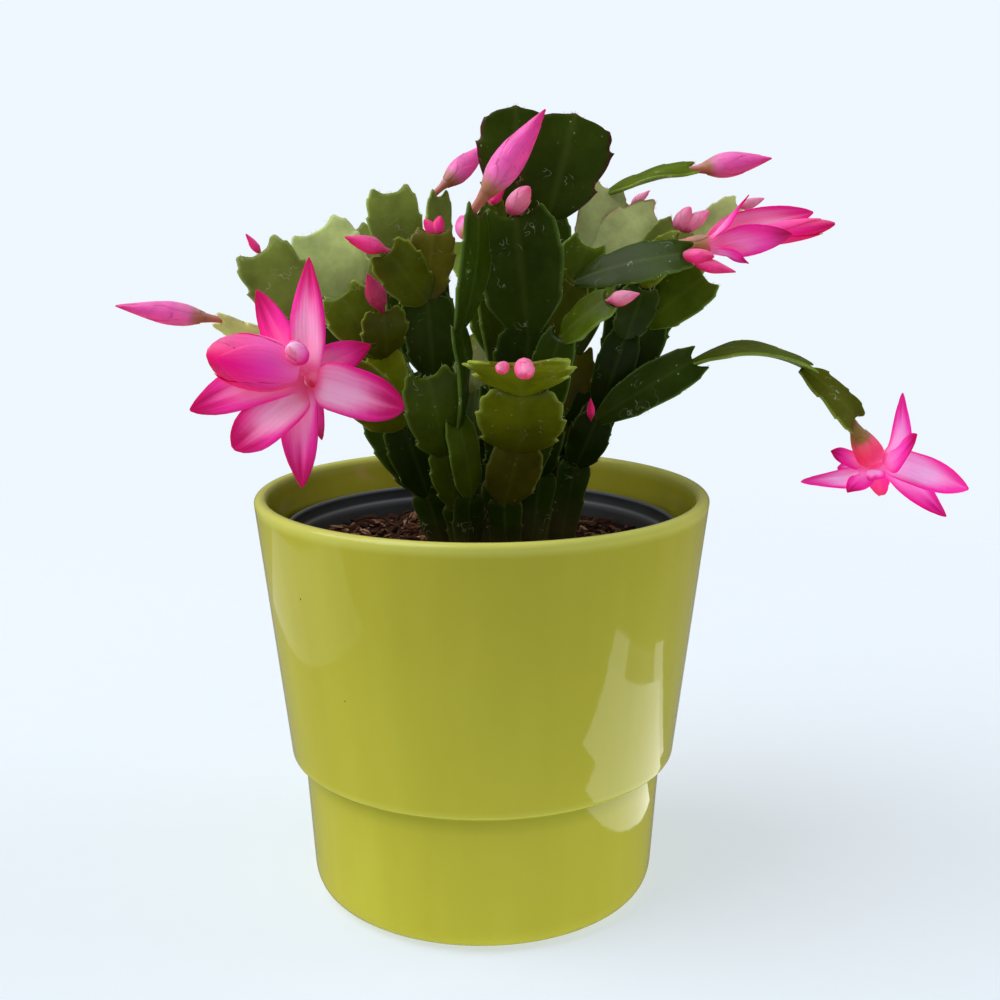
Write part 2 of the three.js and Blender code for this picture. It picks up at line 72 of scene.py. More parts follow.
# %% One function that adds a node
def add(tree, kind, sockets=None, stops=None, **settings):
    """One node of a finish. Stops are the [place, colour] pairs of a colour ramp."""
    node = tree.nodes.new("ShaderNode" + kind)
    for name, value in settings.items():
        setattr(node, name, value)
    switched_on = [socket for socket in node.inputs if socket.enabled]
    for key, given in (sockets or {}).items():
        if isinstance(key, int):
            socket = switched_on[key]
        else:
            socket = next(s for s in switched_on if s.name == key)
        if isinstance(given, bpy.types.Node):
            given = next(output for output in given.outputs if output.enabled)
        if isinstance(given, bpy.types.NodeSocket):
            tree.links.new(given, socket)
        else:
            socket.default_value = given
    if stops:
        ramp = node.color_ramp.elements
        while len(ramp) < len(stops):
            ramp.new(1)
        for element, (place, colour) in zip(ramp, stops):
            element.position, element.color = place, colour
    return node


def finish_named(name):
    """An empty material and its node tree."""
    material = bpy.data.materials.new(name)
    material.use_nodes = True
    material.node_tree.nodes.clear()
    return material, material.node_tree


def patches(size):
    """The scale of a pattern whose patches are that many millimetres wide."""
    return 1 / (size * MM)


print("patches of 2.5 mm have the scale", patches(2.5))

# %% [markdown]
# The camera stands not quite half a metre from the middle of the pot, a little below the top
# of the plant, and looks down by twelve degrees. From so near, the foot is seen from far
# steeper than the rim, so the foot's ellipse is the rounder one. The lens is a normal one, and
# fills the frame with the plant.

# %% The camera
CAMERA_PLACE = (0, -0.466, 0.236)
CAMERA_DOWN = 12.41  # degrees below the horizon
CAMERA_RIGHT = 0.73  # degrees to the right of straight ahead
LENS = 51.59  # on a sensor of 36 mm

eye = bpy.data.cameras.new("eye")
eye.lens = LENS
eye.sensor_width = 36
eye.clip_start = 0.01
camera = bpy.data.objects.new("camera", eye)
camera.location = CAMERA_PLACE
camera.rotation_euler = (math.radians(90 - CAMERA_DOWN), 0, math.radians(-CAMERA_RIGHT))
bpy.context.scene.collection.objects.link(camera)
bpy.context.scene.camera = camera
print("camera at", CAMERA_PLACE)

# %% [markdown]
# The plant stands on a light table, a sheet of milky acrylic lit from below, as is usual for
# pictures of products on a plain ground. Its glow keeps shadows faint, and makes the front of
# the pot brighter towards its foot. The table fades into the backdrop, so that no horizon
# shows. The gloss mirrors a dimmer world than the one that the camera sees: a soft backdrop
# behind the plant, a dark room on the viewer's side, and a table of a third of its brightness
# and a warmer white. So edges seen at a slant shine, while dark leaves and the glaze stay clear.

# %% The backdrop
BACKDROP = "#eff7ff"
ROOM_LIGHT = 0.34
BACKDROP_IN_GLOSS, ROOM_IN_GLOSS = 0.15, 0.03  # behind the plant and on the viewer's side

world = bpy.data.worlds.new("pale_room")
bpy.context.scene.world = world
world.use_nodes = True
room = world.node_tree
room.nodes.clear()
ray = add(room, "LightPath").outputs
around = add(room, "Background", {"Color": linear("#f1f5fb"), "Strength": ROOM_LIGHT})
place = add(room, "TexCoord").outputs["Generated"]
side = add(room, "SeparateXYZ", {"Vector": place}).outputs["Y"]  # 1 behind the plant, -1 at the viewer
behind = add(room, "MapRange", {"Value": side, "From Min": -0.1, "From Max": 0.7,
                                "To Min": ROOM_IN_GLOSS, "To Max": BACKDROP_IN_GLOSS},
             interpolation_type="SMOOTHSTEP")
mirrored = add(room, "Background", {"Color": linear("#ece6d8"), "Strength": behind})
seen = add(room, "Background", {"Color": linear(BACKDROP), "Strength": 1.0})
lit = add(room, "MixShader", {0: ray["Is Glossy Ray"], 1: around, 2: mirrored})
shown = add(room, "MixShader", {0: ray["Is Camera Ray"], 1: lit, 2: seen})
add(room, "OutputWorld", {"Surface": shown})
bpy.context.scene.view_settings.view_transform = "Standard"
print("backdrop", BACKDROP, "in the gloss", BACKDROP_IN_GLOSS)

# %% [markdown]
# The table's top is opal acrylic, matt and without a pattern but for a trace of dust. Its
# finish adds two shaders up: a dull white that answers to the lamps, and the glow from below.
# How strongly the glow lights things is set apart from how bright the table looks, so that
# the table can look even and still brighten the foot of the pot, as it does in the picture.

# %% The light table
TABLE_FADE_FROM, TABLE_FADE_TO = 0.30, 0.80  # metres from the pot
TABLE_GLOW = 0.55  # the share of the table's brightness that comes from below
GLOW_NEAR, GLOW_FAR = 2.27, 0.82  # times that glow where it lights things, near and far from the pot
NEAR_POT, FAR_OFF = 0.08, 0.42  # metres from the middle of the pot
TABLE_IN_GLOSS = 0.36
TABLE_HALF = 1.4
TABLE_GAP = 0.0002  # under the foot ring, so that the two don't share one plane

table_finish, tree = finish_named("pale_studio_table")
place = add(tree, "TexCoord").outputs["Object"]
ray = add(tree, "LightPath").outputs
away = add(tree, "VectorMath", {0: place}, operation="LENGTH")
fade = add(tree, "MapRange", {"Value": away, "From Min": TABLE_FADE_FROM, "From Max": TABLE_FADE_TO},
           interpolation_type="SMOOTHSTEP")
grain = add(tree, "TexNoise", {"Vector": place, "Scale": patches(11.1), "Detail": 4.0})
tint = add(tree, "Mix", {"Factor": grain, "A": linear("#a8afb5"), "B": linear("#abb2b8")},
           data_type="RGBA")
in_gloss = add(tree, "MapRange", {"Value": ray["Is Glossy Ray"], "To Min": 1.0,
                                  "To Max": TABLE_IN_GLOSS})
dimmed = add(tree, "VectorMath", {0: tint, "Scale": in_gloss}, operation="SCALE")
matt = add(tree, "BsdfDiffuse", {"Roughness": 0.6, "Color": dimmed})
near = add(tree, "MapRange", {"Value": away, "From Min": NEAR_POT, "From Max": FAR_OFF,
                              "To Min": TABLE_GLOW * GLOW_NEAR, "To Max": TABLE_GLOW * GLOW_FAR},
           interpolation_type="SMOOTHSTEP")
on_things = add(tree, "MapRange", {"Value": ray["Is Diffuse Ray"], "To Min": TABLE_GLOW, "To Max": near})
power = add(tree, "Math", {0: on_things, 1: in_gloss}, operation="MULTIPLY")
warmed = add(tree, "Mix", {"Factor": ray["Is Glossy Ray"], "A": linear(BACKDROP),
                           "B": linear("#f4ead0")}, data_type="RGBA")
glow = add(tree, "Emission", {"Color": warmed, "Strength": power})
lit = add(tree, "AddShader", {0: matt, 1: glow})
gone = add(tree, "BsdfTransparent")
mixed = add(tree, "MixShader", {0: fade, 1: lit, 2: gone})
add(tree, "OutputMaterial", {"Surface": mixed})
print(len(tree.nodes), "nodes in this finish")

table_mesh = bpy.data.meshes.new("floor")
corners = [(-TABLE_HALF, -TABLE_HALF, 0), (TABLE_HALF, -TABLE_HALF, 0),
           (TABLE_HALF, TABLE_HALF, 0), (-TABLE_HALF, TABLE_HALF, 0)]
table_mesh.from_pydata(corners, [], [(0, 1, 2, 3)])
table_mesh.materials.append(table_finish)
floor = bpy.data.objects.new("floor", table_mesh)
floor.location.z = -TABLE_GAP
bpy.context.scene.collection.objects.link(floor)
print("table", 2 * TABLE_HALF, "m wide")

# %% [markdown]
# A large soft box hangs above, to the left and a little to the front, and a weaker one stands
# at each side. The side boxes are kept out of the gloss, so that they don't veil the leaves.
# The glazed wall leans outwards as it rises, so it never mirrors the boxes: it mirrors the
# table. The bright window shape on its right side is window light lying on the table beside
# the pot. Such a patch is drawn here as a flat light on the table, kept to what the gloss
# mirrors, and a window with its bars takes several of them.

# %% Soft lights and window patches
PATCH_HEIGHT = 0.0005  # metres above the table


def soft_light(name, place, towards, size, watts, long=None, only_in_gloss=False, in_gloss=True):
    """A soft box that lights what it faces and isn't seen by the camera."""
    light = bpy.data.lights.new(name, "AREA")
    light.shape = "RECTANGLE"
    light.size, light.size_y = size, long or size
    light.energy = watts
    box = bpy.data.objects.new(name, light)
    box.location = place
    aim = np.array(towards, float) - np.array(place, float)
    yaw = math.atan2(aim[0], -aim[1])
    pitch = math.atan2(math.hypot(aim[0], aim[1]), -aim[2])
    box.rotation_euler = (pitch, 0, yaw + math.pi)
    box.visible_camera = False
    box.visible_glossy = in_gloss
    if only_in_gloss:
        box.visible_diffuse = box.visible_transmission = False
    bpy.context.scene.collection.objects.link(box)
    return box


def window_patch(name, left, right, near, far, glow):
    """A patch of window light on the table, from its edges in metres and its brightness."""
    width, depth = right - left, far - near
    middle = ((left + right) / 2, (near + far) / 2)
    watts = glow * math.pi * width * depth
    soft_light(name, (*middle, PATCH_HEIGHT), (*middle, 1), width, watts, depth, only_in_gloss=True)


soft_light("top_box", (-0.98, -0.28, 1.6), (0, 0, 0.1), 1.7, 25.0, 1.6)
soft_light("left_box", (-1.6, 0.0, 0.75), (0, 0, 0.1), 1.2, 9.5, in_gloss=False)
soft_light("right_box", (1.6, 0.1, 0.75), (0, 0, 0.1), 1.0, 9.5, in_gloss=False)
window_patch("window_patch", 0.116, 0.205, -0.106, 0.044, 1.75)
window_patch("window_patch_corner", 0.093, 0.116, -0.082, 0.036, 1.75)
window_patch("window_patch_side", 0.205, 0.248, -0.110, -0.066, 1.5)
window_patch("window_patch_edge", 0.125, 0.256, 0.020, 0.056, 1.2)
window_patch("window_patch_pane", 0.205, 0.246, -0.066, 0.020, 0.3)
window_patch("window_patch_left", -0.420, -0.226, -0.150, 0.250, 0.35)

# %% [markdown]
# Almost every piece here is a skin drawn over a row of closed rings: a pot is rings round an
# upright axis, and a flat stem or a petal is a row of thin flattened rings. So one small
# class gathers the rings of all the parts of a piece, and keeps the marks that the finish
# reads at each point: its own colour, how near the rim it is, how far it has turned to cork,
# and how much light comes through. Then it makes one mesh of them.

# %% Skins over rings
class Bunch:
    """Parts that become one mesh: points in millimetres, faces, and a mark for each point."""

    def __init__(self):
        self.points, self.faces, self.marks, self.count, self.glow = [], [], {}, 0, None

    def skin(self, rings, **marks):
        """Closes a row of rings of one even size into a body. A mark is one value, or one a point."""
        rows, size, _ = rings.shape
        grid = self.count + np.arange(rows * size).reshape(rows, size)
        after = np.roll(grid, -1, axis=1)
        walls = np.stack([grid[:-1], after[:-1], after[1:], grid[1:]], axis=-1).reshape(-1, 4)
        self.faces += walls.tolist()
        for ring in (grid[0], grid[-1]):
            self.faces.append([int(ring[0]), int(ring[1]), int(ring[-1])])
            for j in range(1, size // 2 - 1):
                self.faces.append([int(ring[k]) for k in (j, j + 1, size - j - 1, size - j)])
            half = size // 2
            self.faces.append([int(ring[half - 1]), int(ring[half]), int(ring[half + 1])])
        self.points.append(rings.reshape(-1, 3))
        self.count += rows * size
        for name, value in marks.items():
            value = np.asarray(value, float)
            width = () if value.ndim in (0, 2) else (value.shape[-1],)
            full = np.broadcast_to(value, (rows, size) + width)
            self.marks.setdefault(name, []).append(full.reshape((-1,) + width))

    def make(self, name, finish, slot, *nodes):
        """The finished piece. It rides on the plant, and stands for the nodes that are named."""
        mesh = bpy.data.meshes.new(name)
        mesh.from_pydata((np.concatenate(self.points) * MM).tolist(), [], self.faces)
        if self.glow is not None:
            self.marks["glow"] = [np.full(self.count, self.glow)]
        for mark, values in self.marks.items():
            values = np.concatenate(values)
            if values.ndim == 1:
                mesh.attributes.new(mark, "FLOAT", "POINT").data.foreach_set("value", values)
            else:
                colour = mesh.attributes.new(mark, "FLOAT_COLOR", "POINT")
                with_alpha = np.pad(values, ((0, 0), (0, 1)), constant_values=1)
                colour.data.foreach_set("color", with_alpha.ravel())
        shape = bmesh.new()
        shape.from_mesh(mesh)
        bmesh.ops.recalc_face_normals(shape, faces=shape.faces)
        shape.to_mesh(mesh)
        shape.free()
        mesh.shade_smooth()
        mesh.materials.append(finish)
        piece = bpy.data.objects.new(name, mesh)
        bpy.context.scene.collection.objects.link(piece)
        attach(piece, "root")
        if nodes:
            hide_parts(*nodes)
        print(name, "has", sum(len(f) - 2 for f in self.faces), "triangles")
        return piece


sample = Bunch()
sample.skin(np.zeros((5, 6, 3)))
print("a skin over five rings of six points has", len(sample.faces), "faces")


# %% Directions, turned pieces and rounded corners
def unit(v):
    """The same direction, one long. Works on one vector and on rows of them."""
    v = np.asarray(v, float)
    return v / np.linalg.norm(v, axis=-1, keepdims=True)


def turned(profile, around):
    """Rings of a piece turned on an upright axis, from its [radius, height] profile."""
    angle = np.linspace(0, 2 * np.pi, around, endpoint=False)
    r, z = np.array(profile, float).T
    ring = np.stack([np.cos(angle), np.sin(angle)], axis=-1)
    flat = r[:, None, None] * ring[None]
    return np.concatenate([flat, np.broadcast_to(z[:, None, None], (len(r), around, 1))], axis=-1)


def rounded(corners):
    """A profile whose corners are rounded. Each corner is [radius, height, size of its rounding]."""
    corners = [np.array(c, float) for c in corners]
    line = [corners[0][:2]]
    for before, corner, after in zip(corners, corners[1:], corners[2:]):
        point, size = corner[:2], corner[2]
        start = point + unit(before[:2] - point) * size
        end = point + unit(after[:2] - point) * size
        for k in np.linspace(0, 1, 1 if size <= 0.3 else 5 if size < 4 else 11):
            line.append(start * (1 - k) ** 2 + 2 * point * k * (1 - k) + end * k * k)
    line.append(corners[-1][:2])
    return line


print("a corner rounded by 3 mm has", len(rounded([(0, 0, 0), (9, 0, 3), (9, 9, 0)])) - 2, "points")

# %% [markdown]
# The cachepot is slip-cast earthenware: thin clay poured in a mould, fired, dipped in a lime
# green glaze and fired again. A third of the way up, the wide wall ends in a lip over a
# narrower foot. Everything is round, so the mesh is one profile turned on its axis, with soft
# corners, because a glaze never leaves a sharp edge. The foot ring under the base is scraped
# clean, so that it doesn't stick to the kiln shelf.

# %% The cachepot's shape
POT_HEIGHT, POT_RIM_R, POT_WALL = 137, 75, 4.5
POT_WAIST_Z, POT_WAIST_R = 49, 64.9  # the lower lip of the wide upper wall
POT_FOOT_R, POT_BASE_R, POT_FLOOR = 60.8, 57.6, 5
FOOT_RING_IN, UNDER_BASE = 43, 1.6

pot_profile = rounded([
    (0.05, UNDER_BASE, 0),
    (FOOT_RING_IN, UNDER_BASE, 0.8),
    (FOOT_RING_IN + 1.4, 0, 0.6),
    (POT_BASE_R + 0.1, 0, 8.8),
    (POT_FOOT_R, POT_WAIST_Z - 1.7, 0.9),
    (POT_WAIST_R, POT_WAIST_Z - 0.2, 1.1),
    (POT_RIM_R, POT_HEIGHT - 1.3, 0.8),
    (POT_RIM_R - 1.2, POT_HEIGHT, 0.9),
    (POT_RIM_R - POT_WALL + 1.1, POT_HEIGHT, 0.9),
    (POT_RIM_R - POT_WALL, POT_HEIGHT - 1.4, 0.8),
    (POT_WAIST_R - POT_WALL, POT_WAIST_Z + 4, 3),
    (POT_FOOT_R - POT_WALL, POT_WAIST_Z - 5, 3),
    (POT_BASE_R - POT_WALL - 1, POT_FLOOR, 3),
    (0.05, POT_FLOOR, 0),
])
print("pot profile has", len(pot_profile), "points")

# %% [markdown]
# The glaze is a thin coat of coloured glass, so its gloss is sharp and its index is that of
# glass, 1.5. Over the clay it isn't even: it runs down a little while it melts, so it shows
# faint upright streaks 10 to 20 mm apart, it thins to a paler yellow over both lips, which
# also paints the highlight that the lips catch, it is darker in the corner under the wall,
# where it pools and where painted shade falls under the lip, and it carries a few specks of
# iron. Those are finer than half a millimetre, and are drawn 0.7 mm across so that they show.
# The surface waves gently, which is what bends the edges of every reflection.

# %% Lime glaze over earthenware
RUN_WIDE, RUN_LONG = 14.3, 167  # millimetres, the streaks that the glaze left while it ran
SPECK_R, SPECKS_APART = 0.34, 26.3
# Each is [share of the pot's height, how pale it is there: thin glaze and a painted highlight
# on the lips], and then how dark: pooled glaze and painted shade under the wall's lip.
THINS_AND_LIP_HIGHLIGHT = [(0.0, 0), (0.35, 0), (0.357, 0.22), (0.366, 0.12), (0.376, 0), (0.968, 0), (0.984, 0.5),
         (1.0, 0.95)]
POOLS_AND_SHADE_UNDER_LIP = [(0.3, 0), (0.338, 0.5), (0.348, 0.25), (0.353, 0)]
BARE_UNDER = 0.3  # millimetres: only the ring that the pot stands on has no glaze

glaze, tree = finish_named("lime_glaze_over_earthenware")
place = add(tree, "TexCoord").outputs["Object"]
height = add(tree, "SeparateXYZ", {"Vector": place}).outputs["Z"]
runs = add(tree, "Mapping", {"Scale": (patches(RUN_WIDE), patches(RUN_WIDE), patches(RUN_LONG)),
                             "Vector": place})
streak = add(tree, "TexNoise", {"Vector": runs, "Scale": 1.0, "Detail": 3.0, "Roughness": 0.55})
cloud = add(tree, "TexNoise", {"Vector": place, "Scale": patches(45.5), "Detail": 2.0})
body = add(tree, "ValToRGB", {"Fac": streak}, stops=[(0.3, linear("#aba52f")), (0.7, linear("#b5af37"))])
softer = add(tree, "ValToRGB", {"Fac": cloud}, stops=[(0.35, linear("#aca62f")),
                                                      (0.65, linear("#b2ad36"))])
glass = add(tree, "Mix", {"Factor": 0.45, "A": body, "B": softer}, data_type="RGBA")
band = add(tree, "MapRange", {"Value": height, "From Min": 0.0, "From Max": POT_HEIGHT * MM})
# Paler lips: thinner glaze, and a painted highlight where the lips catch light.
thin = add(tree, "ValToRGB", {"Fac": band}, stops=[(share, (w, w, w, 1)) for share, w in THINS_AND_LIP_HIGHLIGHT])
lip_thinned_and_lit = add(tree, "Mix", {"Factor": thin, "A": glass, "B": linear("#d3d56c")}, data_type="RGBA")
# Darker under the wall's lip: pooled glaze, and painted shade.
pooled_and_shaded = add(tree, "ValToRGB", {"Fac": band}, stops=[(share, (w, w, w, 1)) for share, w in POOLS_AND_SHADE_UNDER_LIP])
deep = add(tree, "Mix", {"Factor": pooled_and_shaded, "A": lip_thinned_and_lit, "B": linear("#8d8e22")}, data_type="RGBA")
cells = add(tree, "TexVoronoi", {"Vector": place, "Scale": patches(SPECKS_APART)})
speck = add(tree, "Math", {0: cells, 1: SPECK_R / SPECKS_APART}, operation="LESS_THAN")
specked = add(tree, "Mix", {"Factor": speck, "A": deep, "B": linear("#3d3512")}, data_type="RGBA")
bare = add(tree, "Math", {0: height, 1: BARE_UNDER * MM}, operation="LESS_THAN")
foot = add(tree, "Mix", {"Factor": bare, "A": specked, "B": linear("#cdb894")}, data_type="RGBA")
dull = add(tree, "MapRange", {"Value": bare, "To Min": 0.06, "To Max": 0.8})
wave = add(tree, "TexNoise", {"Vector": place, "Scale": patches(26.3), "Detail": 1.0})
peel = add(tree, "TexNoise", {"Vector": place, "Scale": patches(3.125), "Detail": 1.0})
waved = add(tree, "Bump", {"Strength": 0.16, "Distance": 0.0012, "Height": wave})
skin = add(tree, "Bump", {"Strength": 0.05, "Distance": 0.0004, "Height": peel, "Normal": waved})
shader = add(tree, "BsdfPrincipled", {"IOR": 1.5, "Specular IOR Level": 0.38, "Base Color": foot,
                                      "Roughness": dull, "Normal": skin})
add(tree, "OutputMaterial", {"Surface": shader})
print(len(tree.nodes), "nodes in this finish")

pot = Bunch()
pot.skin(turned(pot_profile, 160))
pot.make("glazed_cachepot", glaze, "glaze", "cachepot")

# %% [markdown]
# The nursery pot is what the plant was sold in: thin moulded plastic with a rim band over a
# step, and a narrow ledge inside the rim. It is as round as the cachepot, so its wall is
# turned in the same way, down the outside and up the inside.

# %% The nursery pot
NURSERY_FOOT, NURSERY_TOP, NURSERY_BASE_R, NURSERY_WALL = 5.3, 126, 45, 1.4
NURSERY_BODY_R, NURSERY_RIM_R = 62.5, 65.8  # under the rim band, and over it
NURSERY_IN_R = NURSERY_RIM_R - NURSERY_WALL
BAND_DEPTH, LEDGE_DEPTH = 9, 3.8  # from the top down to the foot of the rim band and to the ledge

nursery_profile = rounded([
    (0.05, NURSERY_FOOT, 0),
    (NURSERY_BASE_R - 1, NURSERY_FOOT, 1.2),
    (NURSERY_BASE_R + 0.4, NURSERY_FOOT + 2.2, 1.2),
    (NURSERY_BODY_R, NURSERY_TOP - BAND_DEPTH, 0.6),
    (NURSERY_RIM_R - 0.9, NURSERY_TOP - BAND_DEPTH + 1, 0.6),
    (NURSERY_RIM_R, NURSERY_TOP - 0.2, 0.8),
    (NURSERY_IN_R, NURSERY_TOP, 0.5),
    (NURSERY_IN_R - 0.2, NURSERY_TOP - 1.4, 0.3),
    (NURSERY_IN_R - 0.6, NURSERY_TOP - LEDGE_DEPTH, 0.3),
    (NURSERY_IN_R - 2.1, NURSERY_TOP - LEDGE_DEPTH - 0.7, 0.3),
    (NURSERY_IN_R - 2.5, NURSERY_TOP - 6.0, 0.4),
    (NURSERY_BODY_R - 1.6, NURSERY_TOP - BAND_DEPTH - 0.2, 0.4),
    (NURSERY_BASE_R - NURSERY_WALL, NURSERY_FOOT + NURSERY_WALL + 1, 1.0),
    (NURSERY_BASE_R - 3, NURSERY_FOOT + NURSERY_WALL, 0.8),
    (0.05, NURSERY_FOOT + NURSERY_WALL, 0),
])
print("nursery profile has", len(nursery_profile), "points")

# %% [markdown]
# Polypropylene is a slightly waxy plastic, here full of carbon black. The mould leaves it
# satin, with a fine grit of about a millimetre, and its index is 1.49. Handling and stacking
# scuff its two proud edges, the top one and the ledge, to a paler grey, and watering leaves
# dust on the wall above the mix. Both are drawn by their height. A colour ramp keeps only 256
# steps, so it is laid over the topmost 15 mm alone.

# %% Moulded charcoal polypropylene
SCUFF_FROM, SCUFF_TALL = 112, 15  # millimetres
# Each is [height, how worn the wall is there], and then [share of that height, how dusty].
WORN = [(119.5, 0.08), (121.0, 0.35), (121.7, 0.85), (122.3, 0.05), (124.8, 0.0), (125.4, 0.9)]
DUSTY = [(0.1, 0.75), (0.37, 0.25), (0.73, 0)]

plastic, tree = finish_named("moulded_charcoal_polypropylene")
place = add(tree, "TexCoord").outputs["Object"]
height = add(tree, "SeparateXYZ", {"Vector": place}).outputs["Z"]
grit = add(tree, "TexNoise", {"Vector": place, "Scale": patches(1.11), "Detail": 3.0})
haze = add(tree, "TexNoise", {"Vector": place, "Scale": patches(22.2), "Detail": 5.0, "Roughness": 0.7})
base = add(tree, "ValToRGB", {"Fac": haze}, stops=[(0.3, linear("#202226")), (0.7, linear("#2e3136"))])
topmost = add(tree, "MapRange", {"Value": height, "From Min": SCUFF_FROM * MM,
                                 "From Max": (SCUFF_FROM + SCUFF_TALL) * MM})
lip = add(tree, "ValToRGB", {"Fac": topmost},
          stops=[((z - SCUFF_FROM) / SCUFF_TALL, (w, w, w, 1)) for z, w in WORN])
scuffed = add(tree, "Mix", {"Factor": lip, "A": base, "B": linear("#7c8086")}, data_type="RGBA")
dusty = add(tree, "ValToRGB", {"Fac": topmost}, stops=[(share, (w, w, w, 1)) for share, w in DUSTY])
patchy = add(tree, "Math", {0: dusty, 1: haze}, operation="MULTIPLY")
aged = add(tree, "Mix", {"Factor": patchy, "A": scuffed, "B": linear("#4d4438")}, data_type="RGBA")
satin = add(tree, "MapRange", {"Value": haze, "To Min": 0.38, "To Max": 0.6})
fine = add(tree, "Bump", {"Strength": 0.25, "Distance": 0.0002, "Height": grit})
shader = add(tree, "BsdfPrincipled", {"IOR": 1.49, "Specular IOR Level": 0.4, "Base Color": aged,
                                      "Roughness": satin, "Normal": fine})
add(tree, "OutputMaterial", {"Surface": shader})
print(len(tree.nodes), "nodes in this finish")

liner = Bunch()
liner.skin(turned(nursery_profile, 128))
nursery = liner.make("nursery_pot_moulded", plastic, "nursery_plastic", "nursery_pot")

# %% [markdown]
# Water leaves through four holes in the base. They are cut with a boolean, as a drill would,
# and the result is kept as a plain mesh.

# %% Drain holes
DRAIN_R, DRAIN_OUT = 4, 30
drill = Bunch()
for x, y in [(DRAIN_OUT, 0), (0, DRAIN_OUT), (-DRAIN_OUT, 0), (0, -DRAIN_OUT)]:
    hole = turned([(DRAIN_R, NURSERY_FOOT - 3), (DRAIN_R, NURSERY_FOOT + 4)], 24)
    drill.skin(hole + np.array([x, y, 0]))
bit_mesh = bpy.data.meshes.new("drill")
bit_mesh.from_pydata((np.concatenate(drill.points) * MM).tolist(), [], drill.faces)
bit = bpy.data.objects.new("drill", bit_mesh)
bpy.context.scene.collection.objects.link(bit)
cut = nursery.modifiers.new("drain_holes", "BOOLEAN")
cut.object, cut.operation, cut.solver = bit, "DIFFERENCE", "EXACT"
drained = bpy.data.meshes.new_from_object(nursery.evaluated_get(bpy.context.evaluated_depsgraph_get()))
nursery.modifiers.clear()
nursery.data = drained
bpy.data.objects.remove(bit)
print("nursery pot drilled, points", len(drained.vertices))

# %% [markdown]
# Epiphytic cacti are potted in a loose mix: fine bark, coir fibre and crumbs of peat, dry on
# top and a warm dark brown. From close up it is chips lying every way, so a bumpy sheet alone
# looks like mud. The bed is a sheet with hills of a millimetre or two, which rises a little
# at the wall, and over it lie more than two thousand chips, crumbs and fibres, each with its
# own brown. Dry mix hardly shines, so it is very rough.

# %% The bed of mix
SOIL_TOP, SOIL_FOOT, SOIL_R = 115, 7, 60.6
rng = np.random.default_rng(7)  # seeded, so the same chips fall each time
soil_finish, tree = finish_named("fibrous_bark_and_coir_mix")
place = add(tree, "TexCoord").outputs["Object"]
own = add(tree, "Attribute", attribute_name="tone")
crumb = add(tree, "TexNoise", {"Vector": place, "Scale": patches(1.43), "Detail": 5.0, "Roughness": 0.7})
shade = add(tree, "MapRange", {"Value": crumb, "From Min": 0.3, "From Max": 0.7, "To Min": 0.45,
                               "To Max": 1.25})
brown = add(tree, "VectorMath", {0: own, "Scale": shade}, operation="SCALE")
rough = add(tree, "Bump", {"Strength": 0.8, "Distance": 0.0006, "Height": crumb})
shader = add(tree, "BsdfPrincipled", {"Roughness": 0.92, "Specular IOR Level": 0.25, "Base Color": brown,
                                      "Normal": rough})
add(tree, "OutputMaterial", {"Surface": shader})
print(len(tree.nodes), "nodes in this finish")


def bed_height(x, y):
    """The height of the mix at a place on it."""
    hills = 0.7 * np.sin(0.9 * x + 2 * np.sin(0.31 * y)) + 0.5 * np.sin(1.3 * y + 0.4 * x)
    outward = np.hypot(x, y) / 60  # 1 at the wall
    return SOIL_TOP + hills + 2.4 * outward ** 5 - 0.8 * outward ** 12


SOIL_BROWNS = [np.array(linear(c)[:3]) for c in
               ("#301a12", "#402418", "#523020", "#66402a", "#84583c", "#a07452", "#bd9670")]
bed = Bunch()
under = turned([(0.05, SOIL_FOOT), (43.2, SOIL_FOOT), (59.8, 109)], 96)
top_radii = np.array([SOIL_R, 59.5, 57, 54, 50, 46, 42, 38, 34, 30, 26, 22, 18, 14, 10, 6, 3, 0.05])
top = turned([(r, 0) for r in top_radii], 96)
top[..., 2] = bed_height(top[..., 0], top[..., 1]) + rng.normal(0, 0.25, top.shape[:2])
bed.skin(np.concatenate([under, top]), tone=SOIL_BROWNS[1])
print("bed rises to", round(float(top[..., 2].max()), 1), "mm")

# %% [markdown]
# A chip is a skin over five small rings, bent a little, and thrown on the bed at random. Two
# in three are crumbs of 1.4 to 4.6 mm, and the others are flakes and fibres of up to 8.5 mm.

# %% Chips, crumbs and fibres
CHIPS = 2400
CHIP_LINE = ((-0.5, 0.35), (-0.25, 0.95), (0.1, 1), (0.38, 0.7), (0.5, 0.2))  # place and width
CHIP_RING = ((1, 0.2), (0.3, 1), (-0.7, 0.8), (-1, -0.2), (-0.3, -1), (0.7, -0.8))


def scatter_spot():
    """A place on the bed, evenly spread over its area."""
    r, a = 59.5 * math.sqrt(rng.random()), 2 * math.pi * rng.random()
    return r * math.cos(a), r * math.sin(a)


for n in range(CHIPS):
    x, y = scatter_spot()
    size = rng.uniform(1.4, 4.6) if n % 3 else rng.uniform(4, 8.5)
    bearing, lean = rng.uniform(0, 2 * math.pi), rng.normal(0, 0.3)
    along = unit([math.cos(bearing), math.sin(bearing), math.tan(lean)])
    side = unit(np.cross(along, [rng.normal(0, 0.4), rng.normal(0, 0.4), 1]))
    up = np.cross(side, along)
    wide, thick = size * rng.uniform(0.07, 0.17), size * rng.uniform(0.06, 0.12)
    middle = np.array([x, y, bed_height(x, y) + rng.uniform(0.1, 0.9)])
    bend = rng.normal(0, 0.08) * size
    rings = []
    for s, w in CHIP_LINE:
        centre = middle + along * s * size + up * bend * (1 - 4 * s * s)
        rings.append([centre + side * wide * w * a + up * thick * w * b for a, b in CHIP_RING])
    brown = SOIL_BROWNS[min(rng.integers(0, 7), rng.integers(2, 9))] * rng.uniform(0.7, 1.2)
    rings = np.array(rings)
    reach = np.hypot(rings[..., 0], rings[..., 1]).max()
    if reach < SOIL_R - 0.3:
        bed.skin(rings, tone=brown)
bed.make("bark_and_coir_mix", soil_finish, "soil", "soil")

